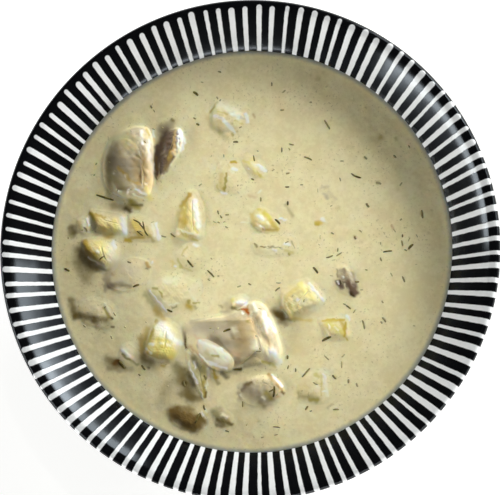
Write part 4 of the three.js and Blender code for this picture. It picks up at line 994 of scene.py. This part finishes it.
fish = {
    "fish_flake": {"top": 1.1, "depth": 0.9, "film": 0.5, "lift": 3.1, "slope": (0.1, 0.12),
                   "squareness": 2.4, "flakes": (60, 2.4, 0.1),
                   "corners": [(-21.8, -36.9), (-17.3, -35.7), (-9.6, -40.2), (-5.1, -45.4), (-7.5, -49.1),
                               (-14.9, -48.3), (-20.2, -43.4)]},
    "fish_large": {"top": 5, "depth": 8, "film": 0.4, "squareness": 1.9, "swell": 0.5, "rounds": 2,
                   "ridge": ((2.6, -28.7), (5.1, -39.6)), "flakes": (-20, 5.5, 0.45),
                   "corners": [(-27.5, -29.6), (-25.5, -39), (-18.5, -46.6), (-7.1, -49.5), (1, -43.1),
                               (8.2, -49.1), (14.8, -45.4), (11.5, -32.6), (7.1, -21.7), (-0.6, -19.6),
                               (-8.4, -26), (-18.5, -28)]},
    "fish_left": {"top": 4.1, "depth": 7, "film": 0.4, "squareness": 2.5, "swell": 0.35, "rounds": 2,
                  "ridge": ((-44.4, 45.1), (-42.8, 26.8)), "flakes": (75, 5.0, 0.4),
                  "corners": [(-54.5, 49.5), (-47, 52.4), (-40.3, 50.6), (-39, 38.1), (-39.5, 27.3),
                              (-41.8, 20), (-51.8, 20.9), (-59.7, 25.2), (-61, 36), (-58.6, 43.4)]},
    "fish_sunk": {"top": 0.6, "depth": 5, "film": 0.92, "squareness": 3, "swell": 0.2,
                  "flakes": (30, 4.0, 0.15),
                  "corners": [(-54.8, -9.3), (-51.1, -2.8), (-42.5, -3.4), (-39.9, -8.8), (-45.3, -15.2),
                              (-52.4, -16.9), (-59.4, -13.9)]},
    "fish_disc": {"top": 1.8, "depth": 4, "film": 0.55, "squareness": 2.6, "swell": 0.2,
                  "ridge": ((5.8, -53.6), (10.6, -55.6)), "flakes": (-20, 3.5, 0.15),
                  "corners": [(-4.7, -56.7), (-2.7, -51.8), (5.1, -49.9), (12.3, -51.8), (15.1, -58.6),
                              (8.2, -62.6), (-1, -63)]},
}
skin = {
    "skin_left": {"top": 2.6, "depth": 4, "film": 0.15, "squareness": 2.4, "swell": 0.3,
                  "ridge": ((-30.5, 45.9), (-34.3, 36.2)),
                  "corners": [(-37.8, 37.2), (-36.6, 47.2), (-32, 51.3), (-27.4, 50.4), (-27, 41.3),
                              (-31.9, 34.7), (-37.3, 28.2), (-38.3, 30.2)]},
    "skin_right": {"top": 1.6, "depth": 3, "film": 0.2, "squareness": 2.4, "swell": 0.25,
                   "corners": [(34.2, -10.5), (36.7, -6.5), (40.7, -7.7), (43.4, -15), (42.6, -19.4),
                               (38.6, -17.8), (34.9, -15.3)]},
    "skin_lower": {"top": 1.2, "depth": 2.2, "film": 0.3, "squareness": 2.6, "swell": 0.2,
                   "corners": [(-32.7, -65.2), (-29, -62.7), (-22.5, -64.4), (-17.6, -68.7), (-18.9, -73.3),
                               (-25.4, -72.3), (-31.5, -69.8)]},
    "skin_lower_small": {"top": 0.9, "depth": 2, "film": 0.75, "squareness": 2.4, "swell": 0.1,
                         "corners": [(-15.2, -66.7), (-11.1, -64.7), (-7.1, -66.7), (-7.4, -70.3),
                                     (-12.3, -71.5)]},
}
onion = {
    "onion_wedge": {"top": 1.9, "depth": 3.4, "film": 0.2,
                    "ridge": ((-21.1, -45.1), (-18.6, -57)),
                    "corners": [(-25.9, -40.1), (-21.4, -43.4), (-15.3, -48.7), (-16, -55.1), (-18.4, -61.1),
                                (-21.7, -55.9), (-25.1, -47.8)]},
}
kinds = {
    "potato": {"pieces": potatoes, "faceted": True, "cut": 0.18, "lump": 0.09, "lumpLength": 3.2,
               "patch": 260.0, "fair": (0.86, 0.77, 0.43), "deep": (0.78, 0.68, 0.33),
               "shady": (0.6, 0.5, 0.17)},
    "fish": {"pieces": fish, "faceted": False, "cut": 0.25, "lump": 0.12, "lumpLength": 4.0, "patch": 170.0,
             "fair": (0.72, 0.62, 0.42), "deep": (0.58, 0.48, 0.32), "shady": (0.5, 0.4, 0.24)},
    "skin": {"pieces": skin, "faceted": False, "cut": 0.25, "lump": 0.12, "lumpLength": 2.6, "patch": 330.0,
             "fair": (0.32, 0.26, 0.19), "deep": (0.13, 0.1, 0.075), "shady": (0.14, 0.11, 0.07)},
    "onion": {"pieces": onion, "faceted": True, "cut": 0.2, "lump": 0.05, "lumpLength": 5.0, "patch": 200.0,
              "fair": (0.72, 0.68, 0.42), "deep": (0.56, 0.52, 0.27), "shady": (0.4, 0.36, 0.15)},
}
pieceForm = {
    "around": 132, "topRows": 34, "skirt": 2.4, "skirtRows": 9, "fillet": 0.8, "edge": 0.36, "proud": 0.02,
    "sunk": 0.05, "outsideSlope": 0.45, "smoothings": 3, "underRows": 9, "underSquareness": 3,
    "underFrom": 0.35, "round": 1.3, "roundTurn": 0.25, "full": 3.0, "lowSlope": 0.7,
    "swellRates": (0.55, 0.31), "fineLump": 0.4, "filmFrom": 0.5, "filmHigh": 1.2, "sunnySlope": 26,
    "shadySlope": 50, "sunny": 38, "shadyFrom": 0.2, "shadyOver": 0.5, "shadyAbove": -0.2,
    "crestFrom": 0.05, "firstSeed": 100, "seedStep": 5,
}
meniscus = {"high": 0.2, "fade": 1.4, "reach": 6.5, "corners": 44}
flakeForm = {"bend": 0.9, "bendLength": 12.0, "curve": 0.7, "lip": 0.86}


def counterClockwise(corners):
    line = np.array(corners, float)
    area = np.sum(line[:, 0] * np.roll(line[:, 1], -1) - np.roll(line[:, 0], -1) * line[:, 1])
    return line[::-1] if area < 0 else line


# Corners cut off again and again, then points set evenly along the line, counter-clockwise from above.
def outlineOf(look, kind, count):
    line = counterClockwise(look["corners"])
    for share in [kind["cut"]] * look.get("rounds", 1) + [0.25] * pieceForm["smoothings"]:
        before, after = np.roll(line, 1, axis=0), np.roll(line, -1, axis=0)
        line = np.stack([line + (before - line) * share, line + (after - line) * share],
                        axis=1).reshape(-1, 2)
    closed = np.concatenate([line, line[:1]])
    along = lengthsAlong(closed)
    steps = np.arange(count) / count * along[-1]
    return np.stack([np.interp(steps, along, closed[:, axis]) for axis in (0, 1)], axis=1)


def outwardOf(outline):
    along = np.roll(outline, -1, axis=0) - np.roll(outline, 1, axis=0)
    along /= np.linalg.norm(along, axis=1, keepdims=True)
    return np.stack([along[:, 1], -along[:, 0]], axis=1)


def crestOf(look, outline):
    if "ridge" not in look:
        return np.repeat(outline.mean(axis=0)[None], len(outline), axis=0)
    start, end = np.array(look["ridge"])
    share = np.clip((outline - start) @ (end - start) / np.sum((end - start) ** 2), 0, 1)
    return start + share[:, None] * (end - start)


# How far each place is outside a closed line, and 0 inside it.
def distanceTo(x, y, line):
    place = np.stack([x, y], axis=-1)[:, None]
    start, step = line[None], (np.roll(line, -1, axis=0) - line)[None]
    share = np.clip(np.sum((place - start) * step, axis=-1) / np.sum(step**2, axis=-1), 0, 1)
    apart = np.linalg.norm(place - start - share[..., None] * step, axis=-1).min(axis=1)
    end = start + step
    crosses = (start[..., 1] > y[:, None]) != (end[..., 1] > y[:, None])
    slope = np.where(step[..., 1] == 0, 1e-9, step[..., 1])
    meets = start[..., 0] + (y[:, None] - start[..., 1]) * step[..., 0] / slope
    within = np.sum(crosses & (x[:, None] < meets), axis=1) % 2 == 1
    return np.where(within, 0, apart)


# The soup drawn up against every piece: a rise that fades with the distance from the nearest outlines.
def meniscusAt(x, y):
    shape = np.shape(x)
    x, y = np.ravel(x), np.ravel(y)
    flat = np.ones(len(x))
    for kind in kinds.values():
        for look in kind["pieces"].values():
            if "lift" in look:
                continue
            line = outlineOf(look, kind, meniscus["corners"])
            low, high = line.min(axis=0) - meniscus["reach"], line.max(axis=0) + meniscus["reach"]
            near = (x > low[0]) & (x < high[0]) & (y > low[1]) & (y < high[1])
            flat[near] *= 1 - np.exp(-distanceTo(x[near], y[near], line) / meniscus["fade"])
    return (meniscus["high"] * (1 - flat)).reshape(shape)


# The planes of a cut piece, least of all at each place: its top, and a slope in from each side that is
# gentle where the side looks to the window and steep where it looks away.
def facetsAt(look, x, y):
    form = pieceForm
    corners = counterClockwise(look["corners"])
    planes = [np.full_like(x, look["top"])]
    for start, end in zip(corners, np.roll(corners, -1, axis=0)):
        along = (end - start) / np.linalg.norm(end - start)
        outward = np.array([along[1], -along[0]])
        facing = math.cos(math.atan2(outward[1], outward[0]) - math.radians(form["sunny"]))
        middle, span = ((form["sunnySlope"] + form["shadySlope"]) / 2,
                        (form["shadySlope"] - form["sunnySlope"]) / 2)
        slope = math.tan(math.radians(middle - facing * span))
        slope *= min(1, look["top"] / form["full"]) ** form["lowSlope"]
        planes.append(slope * ((start[0] - x) * outward[0] + (start[1] - y) * outward[1]))
    edge = form["edge"]
    return -edge * np.log(sum(np.exp(np.clip(-plane / edge, -60, 60)) for plane in planes))


# Steps like overlapping flakes: a saw of a given spacing along a heading, bent by slow waves.
def flakeSteps(x, y, heading, spacing, height, seed):
    form, turn = flakeForm, math.radians(heading)
    along = x * math.cos(turn) + y * math.sin(turn) + form["bend"] * waves(x, y, form["bendLength"], seed)
    saw = np.mod(along / spacing, 1.0)
    fall = np.clip((saw - form["lip"]) / (1 - form["lip"]), 0, 1)
    return height * (saw ** form["curve"] * (1 - fall**2) - 0.5)


# The top of a piece over the water line: planes for a cut piece, a dome top (1 - s^k)^p for a grown one
# with a smaller p towards the window, and on both the lumps, swells and flakes, less on a low piece.
def bodyAt(look, kind, x, y, s, away, outward, seed):
    form, sunny = pieceForm, math.radians(pieceForm["sunny"])
    if kind["faceted"]:
        body = facetsAt(look, x, y)
    else:
        power = form["round"] - form["roundTurn"] * (outward @ np.array([math.cos(sunny), math.sin(sunny)]))
        dome = np.zeros_like(x)
        dome[:len(s)] = (1 - s ** look["squareness"]) ** power
        body = look["top"] * dome - form["outsideSlope"] * away
    share = np.clip(body / look["top"], 0, 1) * min(1, look["top"] / form["full"])
    relief = look.get("swell", 0) * share * np.sin(form["swellRates"][0] * x + form["swellRates"][1] * y)
    for layer, size in enumerate((1, form["fineLump"])):
        relief = relief + kind["lump"] * size * waves(x, y, kind["lumpLength"] * size, seed + layer) * share
    if "flakes" in look:
        relief = relief + flakeSteps(x, y, *look["flakes"], seed + 2) * share
    return body + relief


# The level that a piece rests at. One with a lift lies free above the soup, on a slope.
def levelAt(look, middle, x, y):
    slope = look.get("slope", (0, 0))
    return bowlSize["level"] + look.get("lift", 0) + slope[0] * (x - middle[0]) + slope[1] * (y - middle[1])


# The rows of a piece's underside, a bowl from its outline inwards: the reach shrinks as cos^p and the
# depth grows as sin^p, with p below 1, so that its sides are steep and its floor is flat.
def undersideOf(look, outline, middle):
    low = np.linspace(0, np.pi / 2, pieceForm["underRows"] + 1)[:-1, None]
    power, top = 2 / pieceForm["underSquareness"], pieceForm["underFrom"]
    flat = middle + (outline - middle) * (np.cos(low) ** power)[..., None]
    depth = top + (look["depth"] - top) * np.sin(low) ** power
    x, y = flat[..., 0], flat[..., 1]
    return np.stack([x, y, levelAt(look, middle, x, y) - depth], axis=-1)


# A piece, as heights over a fan of lines from its ridge to its outline and a little beyond, with the soup
# drawn up round it. Where body and soup meet, the larger height is rounded in by near² / (4 fillet).
def makePiece(name, look, kind, material, slot, seed):
    form, around = pieceForm, pieceForm["around"]
    outline = outlineOf(look, kind, around)
    outward, crest, middle = outwardOf(outline), crestOf(look, outline), outline.mean(axis=0)
    s = np.sin(np.linspace(form["crestFrom"], np.pi / 2, form["topRows"]))[:, None]
    aside = np.linspace(0, 1, form["skirtRows"] + 1)[1:, None] * form["skirt"]
    flat = np.concatenate([crest + (outline - crest) * s[..., None], outline + outward * aside[..., None]])
    away = np.concatenate([np.zeros_like(s), aside])
    if "lift" in look:
        flat, away = flat[:len(s)], away[:len(s)]
    x, y = flat[..., 0], flat[..., 1]
    rise = bodyAt(look, kind, x, y, s, away, outward, seed)
    if "lift" in look:
        base, bare = levelAt(look, middle, x, y), np.ones_like(rise)
    else:
        drawn = meniscusAt(x, y) + form["proud"] - (form["proud"] + form["sunk"]) * away / form["skirt"]
        near = np.maximum(form["fillet"] - np.abs(rise - drawn), 0)
        rise = np.maximum(rise, drawn) + near**2 / (4 * form["fillet"])
        base = soupSwells(x, y)
        bare = np.clip((rise - form["filmFrom"]) / form["filmHigh"], 0, 1)
    rows = np.concatenate([np.stack([x, y, base + rise], axis=-1), undersideOf(look, outline, middle)])
    poles = np.array([rows[0].mean(axis=0), [*middle, levelAt(look, middle, *middle) - look["depth"]]])
    points = np.concatenate([rows.reshape(-1, 3), poles])
    first, last = len(rows) * around, len(rows) * around + 1
    triangles = np.concatenate([fanFaces(first, np.arange(around)),
                                fanFaces(last, np.arange(around) + first - around, turned=True)])
    piece = meshFrom(name + "_food", points, gridQuads(len(rows), around, wrap=True)[:, ::-1], triangles)
    film = np.ones(len(points))
    film[:rise.size] = (1 - bare * (1 - look["film"])).ravel()
    film[first] = look["film"]
    setMask(piece, "film", film)
    setMask(piece, "shady", shadySide(piece))
    setBrushwork(piece, points)
    piece.data.materials.append(material)
    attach(piece, "root")
    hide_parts(name)


# How much of a steep side each place is that looks away from the window: the painted shade there.
def shadySide(piece):
    count = len(piece.data.vertices)
    normals = np.zeros(count * 3, np.float32)
    piece.data.vertex_normals.foreach_get("vector", normals)
    normals = normals.reshape(-1, 3)
    turn = math.radians(pieceForm["sunny"] + 180)
    facing = normals[:, 0] * math.cos(turn) + normals[:, 1] * math.sin(turn)
    share = np.clip((facing - pieceForm["shadyFrom"]) / pieceForm["shadyOver"], 0, 1)
    return share * (normals[:, 2] > pieceForm["shadyAbove"])


def makePieces():
    seed = pieceForm["firstSeed"]
    for slot, kind in kinds.items():
        material = makeWetFood(slot, kind)
        for name, look in kind["pieces"].items():
            makePiece(name, look, kind, material, slot, seed)
            seed += pieceForm["seedStep"]


makeSoup()
print("soup poured")
makePieces()
print("pieces laid")

# Dill: middle x and y, length, heading, width, and how far the cream hides it.
dill = [
    (-59.7, 22.1, 7.5, -18, 0.79, 0), (-22.2, 64.6, 2.7, -38, 1.07, 0), (-46.1, 11.9, 3.7, -30, 0.61, 0),
    (-44.1, 9.8, 3.6, -50, 0.61, 0), (-43.4, 10.2, 3.8, -76, 0.64, 0), (-42.6, 7.8, 4.1, -63, 0.64, 0),
    (-44.9, 7.0, 3.0, -39, 0.61, 0), (-24.2, -5.5, 3.7, -50, 0.82, 0), (-15.8, -9.6, 3.9, -45, 0.68, 0),
    (23.9, 37.1, 3.5, -24, 0.68, 0.1), (43.3, 29.6, 4.4, -25, 0.72, 0), (47.9, 17.6, 2.0, -57, 0.93, 0.1),
    (26.8, -8.5, 3.1, -52, 0.9, 0), (31.1, -36.1, 4.1, 26, 0.97, 0), (22.8, -49.7, 4.7, 49, 0.75, 0.15),
    (34.1, -51.5, 2.1, -45, 0.79, 0.1), (55.8, -1.1, 3.6, 7, 0.61, 0), (65.0, 0.7, 2.8, 45, 0.97, 0),
    (61.6, 2.1, 2.4, -79, 0.61, 0.3), (61.8, 5.1, 1.2, -90, 0.64, 0.1), (69.7, 13.7, 3.3, -83, 0.82, 0.2),
    (52.4, 26.5, 2.2, -15, 0.93, 0.4), (47.2, 36.9, 1.6, -46, 0.79, 0.3), (42.8, 4.5, 1.4, -64, 0.86, 0.1),
    (33.7, 6.4, 1.3, -27, 0.64, 0.2), (15.6, 18.8, 1.7, -90, 0.79, 0), (11.5, 11.3, 2.8, -45, 0.93, 0),
    (4.6, 20.5, 1.7, -90, 0.75, 0.2), (15.4, 25.5, 1.6, -1, 0.72, 0.2), (13.2, 40.7, 2.0, -90, 0.64, 0.2),
    (13.4, 57.1, 1.6, -1, 0.72, 0.3), (1.9, 37.4, 2.5, -79, 0.72, 0.1), (-5.7, 44.3, 2.1, -1, 0.82, 0.1),
    (1.3, 28.8, 1.3, -27, 0.72, 0.1), (-21.3, 51.8, 1.4, -27, 0.82, 0), (-22.6, 54.3, 1.3, -27, 0.64, 0.3),
    (-40.6, 59.4, 1.4, -63, 0.79, 0.2), (-39.4, 57.7, 1.3, -63, 0.57, 0.4),
    (-12.8, 15.4, 1.7, -72, 0.64, 0.2), (-11.6, 13.6, 1.3, -63, 0.61, 0.2),
    (-9.1, 14.4, 1.6, -1, 0.61, 0.4), (-12.6, 11.3, 1.2, -27, 0.54, 0.4), (-31.4, 6.2, 2.5, -37, 0.68, 0.1),
    (-35.2, 5.8, 2.1, -14, 0.68, 0.35), (-75.2, -7.6, 2.3, -26, 0.79, 0),
    (-49.3, -4.7, 1.7, -19, 0.72, 0.3), (-46.4, -14.3, 2.7, 21, 0.82, 0), (-60.3, -3.0, 2.4, 36, 0.68, 0),
    (-32.5, -24.6, 2.3, -26, 0.79, 0), (-8.8, -32.7, 3.1, 18, 0.9, 0), (15.4, -43.5, 1.6, -90, 0.79, 0.1),
    (15.6, -47.5, 1.6, -109, 0.64, 0.25), (18.6, -48.7, 1.5, -90, 0.57, 0.2),
    (11.4, -16.1, 2.4, 37, 0.68, 0.3), (11.8, -13.5, 1.9, 0, 0.54, 0.5), (23.0, -63.8, 1.9, 56, 0.79, 0.15),
    (34.8, -64.4, 2.3, 0, 0.61, 0.2), (39.8, -53.1, 1.6, -90, 0.79, 0.2),
    (43.2, -54.6, 1.7, -72, 0.79, 0.35), (37.1, -46.5, 2.8, -90, 0.64, 0.5),
    (31.1, -43.7, 2.6, -45, 0.64, 0.5), (53.1, -4.3, 1.6, -72, 0.64, 0.2), (32.5, -3.1, 2.9, 18, 0.61, 0.2),
    (36.3, -2.1, 2.7, 31, 0.61, 0.4), (43.5, -13.3, 1.6, 0, 0.79, 0.1), (40.0, -23.5, 2.4, -37, 0.64, 0.15),
    (46.0, -30.5, 3.7, -76, 0.79, 0.25), (54.2, -28.6, 2.4, -54, 0.79, 0.2), (-4.8, -48.4, 2.9, 0, 0.9, 0),
    (10.0, -57.3, 4.5, -96, 0.9, 0), (9.2, -56.7, 2.7, 31, 0.68, 0.1), (-26.5, -54.1, 2.1, -76, 0.82, 0.1),
    (-18.0, -51.7, 2.0, -76, 0.61, 0.1), (-21.2, -68.1, 4.0, 69, 0.93, 0),
    (-19.7, -66.9, 2.3, -63, 0.82, 0), (-18.3, -63.7, 2.1, -76, 0.79, 0.1),
    (-52.1, -46.4, 3.5, -56, 0.9, 0), (-43.3, -47.6, 2.5, -53, 0.82, 0.1), (4.1, -41.2, 1.9, 0, 0.54, 0.2),
    (11.0, -71.4, 2.8, -9, 0.57, 0.3), (-9.0, -73.1, 1.6, -18, 0.61, 0.2),
    (-2.7, -62.3, 2.4, -90, 0.64, 0.2), (31.7, 50.7, 4.3, -59, 0.72, 0.15),
    (17.2, 42.9, 2.0, -15, 0.57, 0.2), (9.1, 67.8, 1.5, -90, 0.54, 0.2), (63.0, -0.7, 1.2, -27, 0.57, 0.3),
    (26.6, -54.1, 2.1, -26, 0.54, 0.4), (62.1, -12.4, 2.6, -69, 0.72, 0.2),
    (64.7, 41.1, 1.3, -64, 0.64, 0.3), (58.9, 37.2, 1.6, -46, 0.86, 0.4), (37.7, 35.8, 1.5, -1, 0.54, 0.5),
    (36.9, 28.3, 1.6, -72, 0.57, 0.4), (21.3, 26.3, 1.2, -1, 0.64, 0.4), (0.1, -14.0, 1.3, -27, 0.64, 0.2),
    (-4.2, -14.8, 1.7, 18, 0.72, 0.5), (-13.3, 62.6, 1.3, -64, 0.61, 0.4),
]
dillLook = {"thick": 0.34, "taper": 0.45, "bow": 0.035, "steps": 10, "sides": 6, "scattered": 90, "ring": 76,
            "speck": (0.7, 1.8), "speckWidth": (0.4, 0.75), "speckFaint": (0.3, 0.75),
            "inner": 0.03, "thinEnds": 0.5, "seed": 21, "above": 200,
            "floats": 0.12, "sinks": 0.35, "fair": (0.24, 0.19, 0.05), "deep": (0.09, 0.07, 0.016),
            "cream": (0.8, 0.71, 0.38), "patchScale": 500.0, "patchSpan": (0.35, 0.65), "roughness": 0.3,
            "ior": 1.42, "grainScale": 2500.0, "relief": 0.03}


def makeDillMaterial():
    look = dillLook
    material, tree, shader, place = startMaterial("dill")
    patch = ramp(tree, grain(tree, place, look["patchScale"]), *look["patchSpan"])
    colour = mix(tree, patch, look["deep"], look["fair"])
    colour = mix(tree, mask(tree, "faint"), colour, look["cream"])
    feed(tree, shader, Base_Color=colour, Roughness=look["roughness"], IOR=look["ior"],
         Normal=bump(tree, grain(tree, place, look["grainScale"]), look["relief"] * mm))
    return material


# The heights of the tops of everything laid so far, found by looking straight down.
def topsUnder(places):
    bpy.context.view_layer.update()
    depsgraph = bpy.context.evaluated_depsgraph_get()
    heights = []
    for x, y in places:
        start = Vector((x, y, dillLook["above"])) * mm
        hit, spot = bpy.context.scene.ray_cast(depsgraph, start, Vector((0, 0, -1)))[:2]
        heights.append(spot.z / mm if hit else bowlSize["level"])
    return np.array(heights)


# Every bit at once: an axis bent sideways as a parabola, with a flat rounded section that tapers.
def makeDill():
    look = dillLook
    draw = np.random.default_rng(look["seed"])
    count = look["scattered"]
    reach = look["ring"] * np.sqrt(draw.uniform(look["inner"], 1, count))
    turn = draw.uniform(0, 2 * np.pi, count)
    specks = np.stack([reach * np.cos(turn), reach * np.sin(turn), draw.uniform(*look["speck"], count),
                       draw.uniform(0, 180, count), draw.uniform(*look["speckWidth"], count),
                       draw.uniform(*look["speckFaint"], count)], axis=1)
    bits = np.concatenate([np.array(dill), specks])
    steps, sides = look["steps"], look["sides"]
    t = np.linspace(-1, 1, steps)
    length, heading = bits[:, 2:3], np.radians(bits[:, 3:4])
    bow = look["bow"] * length * draw.uniform(-1, 1, (len(bits), 1)) * 2
    along, aside = t * length / 2, bow * (t**2 - 0.5)
    x = bits[:, :1] + along * np.cos(heading) - aside * np.sin(heading)
    y = bits[:, 1:2] + along * np.sin(heading) + aside * np.cos(heading)
    z = topsUnder(np.stack([x.ravel(), y.ravel()], axis=1)).reshape(x.shape)
    z = z + look["thick"] * (look["floats"] - look["sinks"] * bits[:, 5:6])
    half = bits[:, 4:5] / 2 * (1 - look["taper"] * t**4)
    angle = np.arange(sides) * 2 * np.pi / sides
    across = half[..., None] * np.cos(angle)
    px = x[..., None] - across * np.sin(heading)[..., None]
    py = y[..., None] + across * np.cos(heading)[..., None]
    pz = z[..., None] + look["thick"] / 2 * np.sin(angle) * (1 - look["thinEnds"] * t**2)[:, None]
    tubes = np.stack([px, py, pz], axis=-1)
    ends = np.stack([tubes[:, 0].mean(axis=1), tubes[:, -1].mean(axis=1)], axis=1)
    perBit = steps * sides
    total = len(bits) * perBit
    starts = np.arange(len(bits)) * perBit
    quads = (gridQuads(steps, sides, wrap=True)[None] + starts[:, None, None]).reshape(-1, 4)
    ring = np.arange(sides)
    fans = [np.concatenate([fanFaces(total + 2 * bit, starts[bit] + ring),
                            fanFaces(total + 2 * bit + 1, starts[bit] + perBit - sides + ring, turned=True)])
            for bit in range(len(bits))]
    points = np.concatenate([tubes.reshape(-1, 3), ends.reshape(-1, 3)])
    piece = meshFrom("dill_bits", points, quads[:, ::-1], np.concatenate(fans))
    setMask(piece, "faint", np.concatenate([np.repeat(bits[:, 5], perBit), np.repeat(bits[:, 5], 2)]))
    piece.data.materials.append(makeDillMaterial())
    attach(piece, "root")


makeDill()
print("dill scattered")
